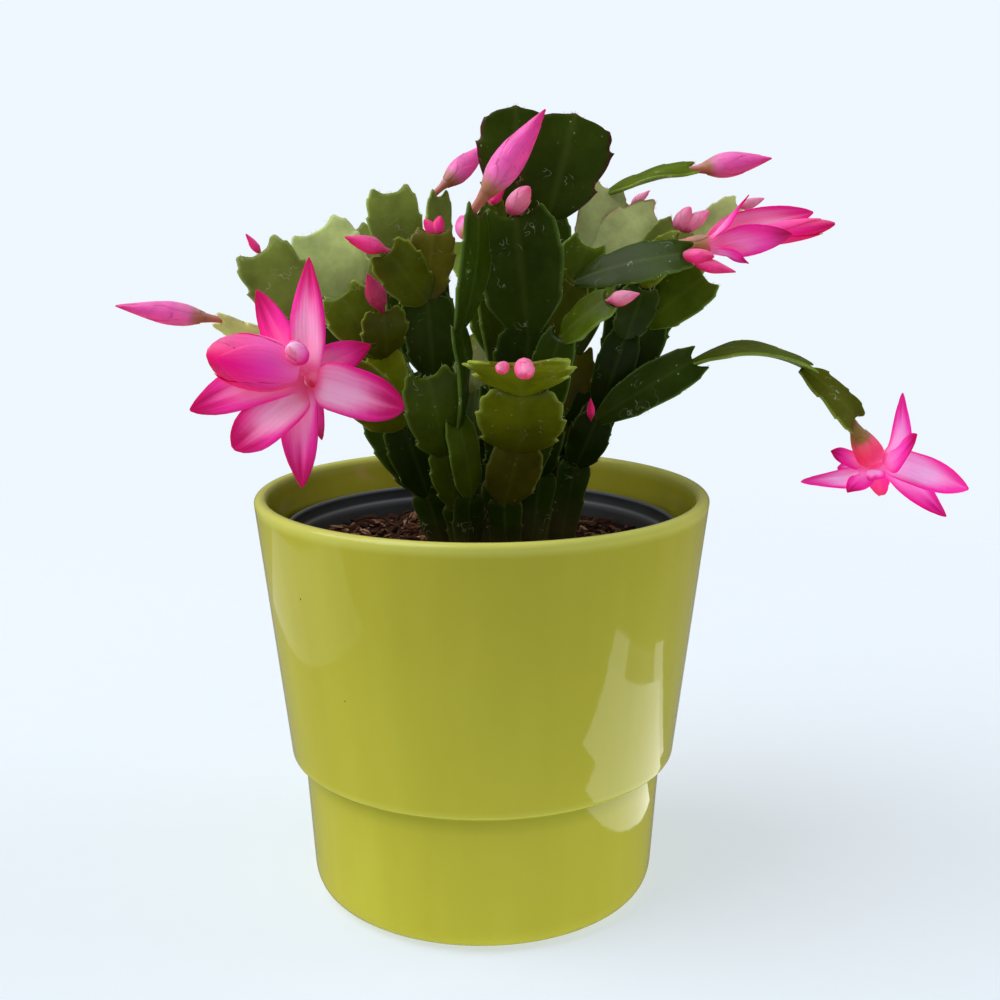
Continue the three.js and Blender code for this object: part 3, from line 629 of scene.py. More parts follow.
# %% [markdown]
# The stems of this cactus are chains of flat segments. Each one is a leaf-like blade of
# flesh three millimetres thick along a raised midrib and about one near its rim, with a few
# small forward-pointing teeth a side and a cut-off end between two horns. Only the two oldest
# blades, at the top, have round tips. The next segments, the buds and the blooms grow from
# the notch between the horns. A plant can't be drawn by a rule, so every chain is written
# down as it grew: where its root is, and a row for each segment.

# %% The table of stems
# A row has the row it grows from, the place of its tip, its width, how many degrees it is
# turned from the viewer, its tone, and now and then a bow of its own.
STEMS = {
    "stem_front": [(8, -13), [
        (0, 7, -17, 137, 10, 10, "bark"), (1, 12, -24, 157, 18, 0, "umber"),
        (2, 12, -44, 177, 27, 0, "bright"), (3, 10, -71, 187, 31, 0, "bright"),
        (1, 20, -19, 163, 12, 20, "dark"), (5, 25, -27, 192, 15, -30, "dark"),
        (6, 39, -31, 202, 15, -55, "mid")]],
    "stem_front_left": [(-5, -11), [
        (0, -8, -15, 135, 9, 20, "bark"), (1, -12, -22, 155, 12, 0, "mid"),
        (2, -17, -34, 181, 19, 10, "mid"), (0, -4, -19, 139, 9, -20, "bark"),
        (4, -8, -28, 165, 12, 30, "mid"), (5, -8, -33, 195, 17, 78, "dark"),
        (6, -2, -31, 230, 18, 62, "dark")]],
    "stem_left": [(-12, -4), [
        (0, -18, -6, 137, 10, 20, "bark"), (1, -26, -14, 163, 16, 10, "deep"),
        (2, -42.5, -30, 181, 18, 0, "bright"), (2, -31, -18, 186, 14, -10, "sunlit"),
        (4, -44, -20, 204, 18, 0, "fresh"), (4, -30.5, -26, 199, 15, 20, "olive"),
        (1, -35, -1, 162, 15, 20, "deep"), (1, -14, -10, 157, 12, 0, "dark"),
        (8, -15, -14, 178, 15, 10, "dark"), (9, -17, -16, 203, 18, 0, "dark"),
        (10, -14.5, -14, 222.5, 15, -10, "tawny"), (10, -29.5, -24, 217, 16, 10, "olive")]],
    "stem_far_left": [(-13, 6), [
        (0, -20, 8, 141, 10, 10, "bark"), (1, -33, 8, 165, 14, 10, "deep"),
        (2, -56, 3, 189, 16, 0, "dark"), (3, -73, 6, 216, 21, 10, "dull"),
        (3, -85, -4, 194, 14, -60, "lime"), (1, -30, 18, 171, 15, -10, "deep"),
        (6, -44, 20, 202, 17, 0, "dark"), (7, -56, 22, 222, 25, 5, "pale")]],
    "stem_centre": [(3, -3), [
        (0, 6, -4, 141, 10, 0, "bark"), (1, 13, -12, 168, 17, 0, "deep"),
        (2, 15, -16, 192, 21, 0, "deep"), (3, 10, -20, 229, 28, 0, "dark"),
        (1, 3, -6, 173, 13, 30, "deep"), (5, 1, -10, 204, 15, 60, "mid"),
        (6, 3, -7, 231.5, 14, 50, "mid")]],
    "stem_top": [(7, 8), [
        (0, 8, 8, 143, 11, 0, "bark"), (1, 9, 10, 173, 16, 50, "deep"),
        (2, 10, 10, 201, 19, 20, "deep"), (3, 10, 8, 228, 17, 0, "dark"),
        (4, 11, 8, 263, 24, 5, "old"), (2, 20, 2, 200, 17, 10, "deep"),
        (6, 21, 0, 227, 18, 0, "dark"), (7, 30, -2, 260, 28, 0, "old")]],
    "stem_top_left": [(-4, 10), [
        (0, -9, 10, 143, 10, 0, "bark"), (1, -15, 8, 177, 14, 0, "deep"),
        (2, -18, 6, 209, 14, 20, "dark"), (3, -14, 5, 234, 13, 55, "dull"),
        (1, -18, 18, 175, 15, -60, "deep"), (5, -27, 14, 211, 17, 0, "dark"),
        (6, -30, 12, 235, 18, 5, "dull")]],
    "stem_right": [(16, -4), [
        (0, 19, -4, 143, 10, 0, "bark"), (1, 21, -7, 168, 14, -10, "deep"),
        (2, 20, -9, 192, 15, 0, "dark"), (3, 34, -10, 219, 17, 0, "mid"),
        (3, 30, -13, 208, 14, -20, "olive"), (5, 64, -26, 215, 15.5, -48, "dark")]],
    "stem_arch": [(26, 4), [
        (0, 31, 4, 145, 10, 0, "bark"), (1, 38, -1, 162, 14, 0, "deep"),
        (2, 71, -2, 181, 15, -25, "dark"), (3, 108, -2, 177, 15, -80, "fresh", 0.14),
        (4, 122.4, -4, 159.5, 16, -50, "olive"), (1, 40, 10, 163, 13, 0, "deep"),
        (6, 55, 5, 194, 19, 0, "dark"), (7, 73, -2, 208, 17, -20, "mid"),
        (6, 47, 1, 189, 14, 0, "deep"), (9, 52, 0, 204, 14, 10, "dark")]],
    "stem_right_back": [(21, 14), [
        (0, 26, 14, 147, 11, 0, "bark"), (1, 32, 14, 183, 15, 0, "tawny"),
        (2, 34, 14, 216, 17, 0, "mid"), (3, 42, 16, 236, 16, 10, "blushed"),
        (4, 70, 14, 241, 14, -75, "fresh"), (3, 59, 12, 226, 17, -15, "blushed"),
        (1, 46, 14, 177, 15, 0, "deep"), (7, 53, 9, 208, 17, 0, "dark"),
        (8, 65, 7, 223, 16, -10, "dull"), (8, 63, -8, 218, 14, -50, "olive"),
        (7, 60, 20, 197, 17, 0, "dark"), (11, 72, 24, 217, 17, 0, "dull"),
        (12, 88, 26, 229, 14, -20, "pale")]],
    "stem_back_right": [(14, 21), [
        (0, 17, 27, 145, 11, 0, "bark"), (1, 26, 36, 177, 18, 50, "dark"),
        (2, 38, 40, 211, 19, 20, "mid"), (3, 52.5, 37, 230, 17, 0, "dull"),
        (2, 40, 54, 195, 18, 65, "mid"), (5, 54, 66, 207, 18, 40, "fresh")]],
    "stem_back": [(0, 22), [
        (0, -1, 28, 147, 11, 0, "bark"), (1, 4, 36, 181, 19, 70, "dark"),
        (2, 10, 36, 217, 22, 40, "mid"), (3, 16, 32, 249, 22, 10, "dark"),
        (2, 0, 52, 205, 20, 30, "mid"), (5, -4, 70, 217, 20, -20, "fresh"),
        (1, -1, 44, 165, 15, -40, "dark"), (7, -6, 66, 181, 18, -10, "olive")]],
    "stem_back_left": [(-10, 18), [
        (0, -17, 24, 145, 11, 0, "bark"), (1, -28, 34, 173, 17, -50, "dark"),
        (2, -38, 40, 203, 19, -30, "mid"), (3, -46, 44, 221, 17, 10, "dull"),
        (2, -46, 50, 189, 18, -60, "mid"), (5, -60, 60, 201, 18, -30, "fresh"),
        (1, -26, 48, 171, 15, 20, "dark")]],
}
print("stems", len(STEMS), "segments", sum(len(rows) for _, rows in STEMS.values()))

# %% [markdown]
# A segment's colour follows its age and its light: old inner ones are a deep bottle green,
# and those in strong sun blush red along the rim. The tones also paint the light that each
# segment stands in: deep adds painted shade to the old green of inner ones, and the bright,
# sunlit and pale tones are painted light that falls on a segment and shines through it. So
# each tone below is a pair: the green of the flesh and the colour of its rim, which is a
# painted highlight where the rim catches light, and a real red blush on old and blushed ones.

# %% Tones of the flesh
TONES = {
    # Painted light and shade: deep darkens old inner segments further, bright, sunlit and pale are painted
    # light, and most rim colours are painted highlights; old and blushed rims are a real blush.
    "bark": ("#4a4422", "#5a5230"), "deep": ("#263a04", "#44591a"), "dark": ("#2f4204", "#56702a"),
    "old": ("#344604", "#4e1c1e"), "olive": ("#555c06", "#7e8e30"), "umber": ("#52500a", "#6e7430"),
    "mid": ("#485a06", "#6f8a34"), "fresh": ("#566a0c", "#8ba23c"), "bright": ("#686e06", "#8f9c38"),
    "sunlit": ("#86980a", "#9fb13c"), "lime": ("#c0ba62", "#cfd08c"), "dull": ("#7e8e3a", "#9cae5c"),
    "pale": ("#bccd80", "#ccd898"), "tawny": ("#5e5a08", "#7c6a2c"), "blushed": ("#ccd88c", "#b58a78"),
}
FLESH = {name: [np.array(linear(c)[:3]) for c in pair] for name, pair in TONES.items()}
print("tones", ", ".join(FLESH))

# %% [markdown]
# The skin of a segment is a waxy cuticle over green flesh. The wax gives it a soft shine,
# roughness about 0.35, with the index of wax and leaf, 1.45. Close up it is finely pebbled,
# mottled in patches of a centimetre or so, and only a little paler over the midrib. Drops of
# water have dried on it and left pale specks and the fine loops of old drop edges. The specks
# are drawn about half a millimetre wide, or they wouldn't show at this size.

# %% Waxy cactus skin
flesh, tree = finish_named("waxy_cactus_skin")
place = add(tree, "TexCoord").outputs["Object"]
own = add(tree, "Attribute", attribute_name="tone")
rim = add(tree, "Attribute", attribute_name="rim").outputs["Fac"]
cork = add(tree, "Attribute", attribute_name="cork").outputs["Fac"]
mottle = add(tree, "TexNoise", {"Vector": place, "Scale": patches(11.76), "Detail": 4.0, "Roughness": 0.6})
pebble = add(tree, "TexNoise", {"Vector": place, "Scale": patches(0.77), "Detail": 2.0})
midrib = add(tree, "MapRange", {"Value": rim, "From Min": 0.0, "From Max": 0.16, "To Min": 1.0,
                                "To Max": 0.0}, interpolation_type="SMOOTHSTEP")
shade = add(tree, "MapRange", {"Value": mottle, "From Min": 0.3, "From Max": 0.7, "To Min": 0.72,
                               "To Max": 1.28})
green = add(tree, "VectorMath", {0: own, "Scale": shade}, operation="SCALE")
share = add(tree, "Math", {0: midrib, 1: 0.07}, operation="MULTIPLY")
veined = add(tree, "Mix", {"Factor": share, "A": green, "B": linear("#93a04c")}, data_type="RGBA")
dust_cells = add(tree, "TexVoronoi", {"Vector": place, "Scale": patches(3.03)})
dust = add(tree, "MapRange", {"Value": dust_cells, "From Min": 0.06, "From Max": 0.13, "To Min": 1.0,
                              "To Max": 0.0})
drops = add(tree, "TexNoise", {"Vector": place, "Scale": patches(3.333), "Detail": 1.0})
offset = add(tree, "Math", {0: drops, 1: 0.5}, operation="SUBTRACT")
apart = add(tree, "Math", {0: offset}, operation="ABSOLUTE")
loop = add(tree, "MapRange", {"Value": apart, "From Min": 0.004, "From Max": 0.014, "To Min": 1.0,
                              "To Max": 0.0})
dried = add(tree, "TexNoise", {"Vector": place, "Scale": patches(8.33), "Detail": 2.0})
looped = add(tree, "MapRange", {"Value": dried, "From Min": 0.61, "From Max": 0.66, "To Max": 0.4})
dotted = add(tree, "MapRange", {"Value": mottle, "From Min": 0.52, "From Max": 0.62, "To Max": 0.5})
loops = add(tree, "Math", {0: loop, 1: looped}, operation="MULTIPLY")
dots = add(tree, "Math", {0: dust, 1: dotted}, operation="MULTIPLY")
settled = add(tree, "Math", {0: loops, 1: dots}, operation="MAXIMUM")
dusted = add(tree, "Mix", {"Factor": settled, "A": veined, "B": linear("#c6cdae")}, data_type="RGBA")
waxy = add(tree, "MapRange", {"Value": mottle, "From Min": 0.3, "From Max": 0.7, "To Min": 0.28,
                              "To Max": 0.42})
barky = add(tree, "Mix", {"Factor": cork, "A": waxy, "B": 0.85})
swell = add(tree, "Bump", {"Strength": 0.3, "Distance": 0.0015, "Height": mottle})
pores = add(tree, "Bump", {"Strength": 0.1, "Distance": 0.0002, "Height": pebble, "Normal": swell})
shader = add(tree, "BsdfPrincipled", {"IOR": 1.45, "Specular IOR Level": 0.2, "Subsurface Weight": 0.12,
                                      "Subsurface Radius": (1.0, 1.4, 0.3), "Subsurface Scale": 0.0014,
                                      "Base Color": dusted, "Roughness": barky, "Normal": pores})
add(tree, "OutputMaterial", {"Surface": shader})
print(len(tree.nodes), "nodes in this finish")

# %% [markdown]
# One segment is a row of flattened rings along a gently bowed line. Each ring goes across the
# front face from rim to rim and back across the rear face, folded a little along its midrib.
# The outline that the rim follows is stepped at the teeth, while the middle columns follow a
# smooth one, so only the edge is toothed. The rings are packed close at the teeth and the end.

# %% The lines of one segment
SUNK = 1.8  # millimetres that a segment starts inside the notch that carries it
HORN = 0.06  # how far the horns stand past the notch, as a share of the length
CUP = 0.12  # how far the rims stand forward, as a share of the half width
BOW = 0.05  # how far the middle bows forward, as a share of the length
SKEW = 0.05  # how far one rim's teeth stand ahead of the other's, as a share of the length


def there_and_back(columns):
    """Columns across the front face and back across the rear one, with 1 or -1 for the face."""
    back = columns[-2:0:-1]
    return np.concatenate([columns, back]), np.concatenate([np.ones(len(columns)), -np.ones(len(back))])


COLUMNS = np.array([-1, -0.97, -0.88, -0.7, -0.48, -0.22, 0, 0.22, 0.48, 0.7, 0.88, 0.97, 1])
ACROSS, FACE = there_and_back(COLUMNS)
HALF_THICK = np.interp(np.abs(ACROSS), [0, 0.22, 0.48, 0.7, 0.88, 0.97, 1],
                       [1.62, 1.28, 1.08, 0.88, 0.66, 0.42, 0])  # millimetres

# Along the rim: [share of the length, share of the half width, how far the rim leans forward there].
RIM_LINE = np.array([
    (0, 0.2, 0), (0.03, 0.24, 0), (0.07, 0.34, 0), (0.12, 0.48, 0), (0.17, 0.61, 0), (0.22, 0.72, 0),
    (0.265, 0.805, 0), (0.3, 0.865, 0.004), (0.322, 0.915, 0.016), (0.336, 0.87, 0.006),
    (0.358, 0.83, 0), (0.385, 0.835, 0), (0.42, 0.87, 0), (0.47, 0.925, 0), (0.52, 0.965, 0),
    (0.57, 0.99, 0), (0.615, 1.0, 0), (0.645, 1.02, 0.007), (0.664, 1.045, 0.018), (0.678, 0.985, 0.007),
    (0.7, 0.93, 0), (0.73, 0.915, 0), (0.77, 0.93, 0), (0.81, 0.935, 0), (0.85, 0.93, 0.002),
    (0.89, 0.905, 0.01), (0.915, 0.815, 0.004), (0.95, 0.765, 0.01), (0.978, 0.715, 0.022),
    (0.991, 0.65, 0.024), (1.0, 0.55, 0.012)])
ALONG, RIM_SHARE, RIM_LEAN = RIM_LINE.T
INNER_SHARE = np.interp(ALONG, [0, 0.12, 0.3, 0.45, 0.62, 0.78, 0.9, 1],
                        [0.2, 0.46, 0.83, 0.9, 0.965, 0.92, 0.82, 0.55])
OLD_SHARE = np.interp(ALONG, [0, 0.7, 0.81, 0.89, 0.95, 0.978, 1], [1, 1.02, 1.0, 0.93, 0.84, 0.7, 0.48])
NOTCHES = [10, 11, 20, 21]  # rows of the rim where hairs grow
print("a segment has", len(ALONG), "rings of", len(ACROSS), "points")


# %% Directions and bowed lines
def facing(axis, turn):
    """The direction that a segment's broad side faces, and the one across it."""
    look = np.array([0, 0, 1.0]) if abs(axis[1]) > 0.8 else np.array([0, -1.0, 0])
    towards = unit(look - axis * look.dot(axis))
    aside = np.cross(axis, towards)
    angle = math.radians(turn)
    normal = towards * math.cos(angle) + aside * math.sin(angle)
    return normal, np.cross(normal, axis)


def bowed(base, control, tip, u):
    """Points of a bowed line at the shares u of it, also a little past its ends."""
    u = u[..., None]
    return base * (1 - u) ** 2 + 2 * control * u * (1 - u) + tip * u * u


def heading(base, control, tip, u):
    """Its direction there."""
    u = np.clip(u, 0, 1)[..., None]
    return unit((control - base) * (1 - u) + (tip - control) * u)


def step(x, low, high):
    """A smooth rise from 0 at low to 1 at high."""
    k = np.clip((x - low) / (high - low), 0, 1)
    return k * k * (3 - 2 * k)


print("a quarter of the way a smooth step has risen to", step(0.25, 0, 1))


# %% One segment
hair_roots = []  # where the bristles grow: [place, direction, how many, how long]


def grow_segment(bunch, base, tip, width, turn, bow, skew, tone, number):
    """Skins one segment and notes where its hairs grow."""
    length = np.linalg.norm(tip - base)
    axis = unit(tip - base)
    normal, across = facing(axis, turn)
    control = (base + tip) / 2 + normal * 2 * bow * length
    s, t = ALONG[:, None], ACROSS[None]
    edge = step(np.abs(t), 0.55, 1)
    # Teeth are cut to different depths, and those of the round-tipped old blades are deep.
    depth = 1.1 if tone == "old" else 0.75 + 0.45 * math.sin(5.1 * number)
    share = INNER_SHARE[:, None] + ((RIM_SHARE - INNER_SHARE)[:, None] * depth) * edge
    if tone == "old":
        share = share * OLD_SHARE[:, None]
    # The oldest tips are round, and the others are cut off between their horns.
    hollow = -0.5 if tone == "old" else 1.0
    horned = 1 - step(s, 0.9, 0.94) if tone == "old" else 1.0
    u = (s + RIM_LEAN[:, None] * edge * horned + skew * t * np.sin(np.pi * s)
         + HORN * (hollow * t * t - 1) * s ** 4 - 0.008 * s ** 12 * np.sin(np.pi * t) ** 2)
    way = heading(base, control, tip, u)
    out = unit(normal - way * (way @ normal)[..., None])
    half = share * width / 2
    ripple = 0.55 * np.sin(6.5 * s + 1.9 * number) * t * np.abs(t)
    ripple = ripple + 0.3 * np.sin(11 * s + number) * t * t
    thin = (0.8 + 0.2 * step(s, 0, 0.2)) * (1 - 0.6 * step(s, 0.975, 1)) * (1 - 0.12 * step(s, 0.5, 1))
    lift = CUP * np.abs(t) ** 1.3 * half + ripple * step(s, 0.1, 0.4) + FACE * HALF_THICK * thin
    rings = bowed(base, control, tip, u) + across * (t * half)[..., None] + out * lift[..., None]
    body, rim_blush_and_light = FLESH[tone]
    age = 1 + 0.1 * math.sin(3.7 * number)
    # The rim colour is a painted highlight where the rim catches light from the side, and on old and
    # blushed blades a real red blush.
    colour = (body + (rim_blush_and_light - body) * step(np.abs(t), 0.9, 1)[..., None]) * age
    colour = np.broadcast_to(colour, rings.shape)
    if tone in ("old", "blushed"):
        red = (0.5 * step(s, 0.7, 0.95) * step(np.abs(t), 0.86, 1) + 0.9 * step(s, 0.965, 1))[..., None]
        colour = colour * (1 - np.clip(red, 0, 1)) + rim_blush_and_light * np.clip(red, 0, 1)
    bunch.skin(rings, tone=colour, rim=np.abs(t) + 0 * s, cork=0.0)
    last = len(COLUMNS) - 1
    for row in NOTCHES:
        for column, side in ((0, -1), (last, 1)):
            hair_roots.append((rings[row, column], unit(across * side + 1.1 * way[row, column]), 3, 1.2))
    for column, lean in ((1, -0.7), (3, -0.3), (5, -0.1), (6, 0), (7, 0.1), (9, 0.3), (11, 0.7)):
        end = (rings[-1, column] + rings[-1, -column]) / 2
        hair_roots.append((end, unit(axis + across * lean), 2, 1.7))
    return axis, tip - axis * HORN * length


print("the rim leans forward by at most", RIM_LEAN.max(), "of a segment's length")


# %% [markdown]
# The lowest joint of each chain is old: still a flat blade with rims, but thick, dark, narrow
# and turning to cork where it runs down into the mix. It is drawn like a segment, only
# straight and with a single worn tooth a side. The chains then grow row by row, each segment
# starting a little inside the notch of the one before it.

# %% Old feet and whole stems
FOOT_LINE = np.array([  # share of the height over the mix, share of the half width
    (-0.35, 0.6), (0, 0.72), (0.1, 0.78), (0.22, 0.84), (0.36, 0.9), (0.48, 0.95), (0.56, 1.02),
    (0.585, 0.93), (0.68, 0.92), (0.8, 0.96), (0.9, 0.98), (0.97, 0.9), (1.03, 0.72)])
FOOT_WIDE, FOOT_THICK = 0.58, 1.55  # shares of the width in the table and of a segment's thickness


def grow_foot(bunch, root, tip, width, number):
    """The old first joint of a chain, from under the mix up to its tip."""
    ground = np.array([root[0], root[1], SOIL_TOP + 2.0])
    axis = unit(tip - ground)
    wide = unit(np.array([1.0, 0, 0]) - axis * axis[0])
    deep = np.cross(axis, wide)
    s, share = FOOT_LINE[:, 0][:, None], FOOT_LINE[:, 1][:, None]
    t = ACROSS[None]
    half = FOOT_WIDE * width * (1 + (share - 1) * (0.6 + 0.4 * np.abs(t)))
    half = half * (1 + 0.05 * np.sin(7 * s + number + np.sign(t)))
    middle = ground + (tip - ground) * (s + 0.05 * step(s, 0.7, 1) * (t * t - 1))[..., None]
    lumps = 1 + 0.12 * np.sin(9 * s + 2.3 * number + 2 * t)
    thick = FACE * HALF_THICK * FOOT_THICK * lumps
    rings = middle + wide * (t * half)[..., None] + deep * thick[..., None]
    old = (1 - step(s, 0.0, 0.75))[..., None]
    colour = FLESH["bark"][0] * old + FLESH["deep"][0] * (1 - old)
    # A paler rim: a painted highlight where the rim catches light from the side.
    colour = colour + (FLESH["bark"][1] - colour) * 0.5 * step(np.abs(t), 0.88, 1)[..., None]
    bunch.skin(rings, tone=np.broadcast_to(colour, rings.shape), rim=np.abs(t) + 0 * s,
               cork=np.broadcast_to(old[..., 0], (len(FOOT_LINE), len(ACROSS))))
    for column, side in ((0, -1), (len(COLUMNS) - 1, 1)):
        hair_roots.append((rings[6, column], unit(wide * side + axis), 4, 1.3))
    return axis, tip


print("a foot is about", round(2 * FOOT_WIDE, 2), "times as wide as the table says")


# %% The stems grow
notch_of = {}  # the notch and the axis at the end of each row of each stem
number = 0
for stem, (root, rows) in STEMS.items():
    chain = Bunch()
    ends = [None]
    for start, x, y, z, width, turn, tone, *own_bow in rows:
        number += 1
        tip = np.array([x, y, z], float)
        if start == 0:
            ends.append(grow_foot(chain, root, tip, width, number))
            continue
        axis, notch = ends[start]
        base = notch - axis * SUNK
        skew = SKEW * math.sin(2.4 * number)
        ends.append(grow_segment(chain, base, tip, width, turn, own_bow[0] if own_bow else BOW,
                                 skew, tone, number))
    notch_of[stem] = ends
    chain.make(stem + "_grown", flesh, "stem_flesh", stem)
print("hairs will grow at", len(hair_roots), "places")

# %% [markdown]
# Each notch holds an areole, the small felted cushion from which a cactus grows its spines.
# Here they are only soft bristles and threads of half a millimetre to two, pale and curled.
# They are far too fine to be seen singly at arm's length, but together they draw the light
# line along the cut-off end of a segment, so they are drawn up to a fifth of a millimetre
# thick. Dry hair is straw with a dull shine, its index is 1.55, and its colour changes along it.

# %% Bristles and threads at the notches
hair, tree = finish_named("dry_areole_bristle")
place = add(tree, "TexCoord").outputs["Object"]
fade = add(tree, "TexNoise", {"Vector": place, "Scale": patches(2.5), "Detail": 2.0})
straw = add(tree, "ValToRGB", {"Fac": fade}, stops=[(0.35, linear("#9a9468")),
                                                    (0.65, linear("#e0dcc0"))])
shader = add(tree, "BsdfPrincipled", {"Roughness": 0.6, "IOR": 1.55, "Specular IOR Level": 0.3,
                                      "Base Color": straw})
add(tree, "OutputMaterial", {"Surface": shader})
print(len(tree.nodes), "nodes in this finish")

SQUARE = np.array([(1, 0), (0, 1), (-1, 0), (0, -1)], float)
BRISTLE = np.array([0, 0.3, 0.6, 0.85, 1])[:, None, None]
bristles = Bunch()


def grow_bristle(root, direction, long):
    """One bristle or, when it bends far, a curled thread."""
    way = unit(direction + rng.normal(0, 0.5, 3))
    curl = unit(np.cross(way, rng.normal(0, 1, 3)))
    side = np.cross(way, curl)
    reach = long * rng.uniform(0.4, 1.3)
    bend = reach * rng.uniform(0.1, 0.9)
    twist = reach * rng.uniform(-0.3, 0.3)
    thick = rng.uniform(0.06, 0.1) * (1 - 0.75 * BRISTLE)
    line = (root + way * (BRISTLE * reach * (1 - 0.35 * BRISTLE) - 0.25) + curl * bend * BRISTLE ** 2
            + side * twist * np.sin(3 * BRISTLE))
    round_it = curl * SQUARE[None, :, :1] + side * SQUARE[None, :, 1:]
    bristles.skin(line + round_it * thick)


for root, direction, count, long in hair_roots:
    for _ in range(count):
        if rng.random() < 0.75:
            grow_bristle(root, direction, long)
print("bristles on the stems", len(bristles.points))

# %% [markdown]
# A bud is a spindle of petals wrapped round each other in a spiral, on a short salmon neck
# that becomes the ovary. A smooth spindle would look like plastic, so a core carries thin
# overlapping scales. Each scale is a strip of the spindle's surface, a fifth of a millimetre
# thick, with a pointed tip. The youngest buds are rounder and have fewer of them.

# %% Scales wrapped round a spindle
WRAP = np.array([-1, -0.92, -0.6, 0, 0.6, 0.92, 1])
WRAP_RING, WRAP_FACE = there_and_back(WRAP)
OUTER_THICK = np.interp(np.abs(WRAP_RING), [0, 0.6, 0.92, 1], [1, 0.9, 0.5, 0.1])
WRAP_THICK = np.where(WRAP_FACE > 0, OUTER_THICK, -0.6)
SPIRAL_TURN = 2.4  # radians from one scale to the next, the angle at which plants set such parts
# Buds and rolled petals are painted lighter where they look up and darker underneath: a painted highlight
# and painted shade for light from above.
PAINTED_HIGHLIGHT_PINK = np.array(linear("#ffc6e4")[:3])
PAINTED_HIGHLIGHT = 0.22  # the share of that pink in a surface that looks straight up
PAINTED_UNDER_SHADE = np.array([0.18, 0.7, 0.68])  # the shares of red, green and blue that an underside loses


def cross_axes(axis):
    """Two directions square to an axis and to each other."""
    first = unit(np.cross(axis, [0.3, 0.2, 1.0] if abs(axis[2]) < 0.9 else [1.0, 0, 0]))
    return first, np.cross(axis, first)


def blend_of(stops, k):
    """Colours between named stops [place, hex], at the places k."""
    places = [p for p, _ in stops]
    chart = np.array([linear(c)[:3] for _, c in stops])
    return np.stack([np.interp(k, places, chart[:, c]) for c in range(3)], axis=-1)


def paint_light_above_shade_below(colour, up):
    """Colour with a painted highlight where a surface looks up, and painted shade underneath."""
    lift = np.clip(up, 0, 1)[..., None]
    under = np.clip(-up, 0, 1)[..., None]
    return colour * (1 - under * PAINTED_UNDER_SHADE) * (1 - PAINTED_HIGHLIGHT * lift) + PAINTED_HIGHLIGHT * lift * PAINTED_HIGHLIGHT_PINK


def wrap_scale(bunch, start, tip, profile, radius, low, high, angle, spread, proud, flush):
    """One pointed scale that lies on a spindle between the shares low and high of its length."""
    axis = unit(tip - start)
    first, second = cross_axes(axis)
    k = np.array([0, 0.06, 0.15, 0.28, 0.42, 0.56, 0.68, 0.79, 0.88, 0.95, 1])[:, None]
    s = low + (high - low) * k
    outline = np.interp(k, [0, 0.15, 0.4, 0.65, 0.85, 0.95, 1], [0.7, 0.95, 1, 0.8, 0.45, 0.2, 0.03])
    phi = angle + spread * outline * WRAP_RING[None]
    r = radius * np.interp(s, profile[:, 0], profile[:, 1])
    r = r + proud * (0.5 + 0.5 * k) + 0.14 * WRAP_THICK[None]
    centre = start + (tip - start) * s[..., None]
    rings = centre + first * (r * np.cos(phi))[..., None] + second * (r * np.sin(phi))[..., None]
    colour = blend_of(flush, np.clip(s + 0 * phi, 0, 1))
    edge = step(np.abs(WRAP_RING)[None] + 0.25 * k, 0.7, 1.15)[..., None]
    # A painted highlight on the upper side of each scale, and painted shade under it.
    colour = paint_light_above_shade_below(colour * (1 - 0.16 * edge * np.array([0.3, 1.0, 0.6])),
                       first[2] * np.cos(phi) + second[2] * np.sin(phi))
    bunch.skin(rings, tone=colour, rim=np.abs(WRAP_RING)[None] + 0 * k)


print("a scale has rings of", len(WRAP_RING), "points")

# %% [markdown]
# Two spindles are enough for every bud: a long one with a neck for those about to open, and a
# round one for the young. They differ in their flush, which is the colour from neck to tip.

# %% Buds of two ages
LONG_BUD = np.array([(0, 0.3), (0.06, 0.3), (0.14, 0.35), (0.22, 0.49), (0.3, 0.74), (0.37, 0.92),
                     (0.45, 1.0), (0.54, 0.98), (0.64, 0.86), (0.74, 0.66), (0.84, 0.44), (0.93, 0.24),
                     (1, 0.05)])
ROUND_BUD = np.array([(0, 0.4), (0.08, 0.62), (0.18, 0.84), (0.3, 0.97), (0.42, 1), (0.55, 0.97),
                      (0.68, 0.87), (0.8, 0.7), (0.9, 0.46), (0.97, 0.24), (1, 0.08)])
CIRCLE = np.linspace(0, 2 * np.pi, 18, endpoint=False)

FLUSHES = {
    "open_pink": [(0, "#a8604c"), (0.1, "#b87058"), (0.2, "#a06848"), (0.27, "#b07850"),
                  (0.36, "#ee70b4"), (0.5, "#fa5ebc"), (0.8, "#f64eb0"), (1, "#dc2078")],
    "hot": [(0, "#9a3040"), (0.2, "#d8346e"), (0.5, "#f83a94"), (1, "#e41c70")],
    "pale": [(0, "#7a2838"), (0.16, "#b84468"), (0.34, "#e0789c"), (0.7, "#ec92b4"), (1, "#ec68a0")],
    "deep": [(0, "#7c1c34"), (0.3, "#a43258"), (0.7, "#ba3c68"), (1, "#bc2c60")],
    "neon": [(0, "#d03870"), (0.4, "#f25492"), (1, "#f27aa8")],
}


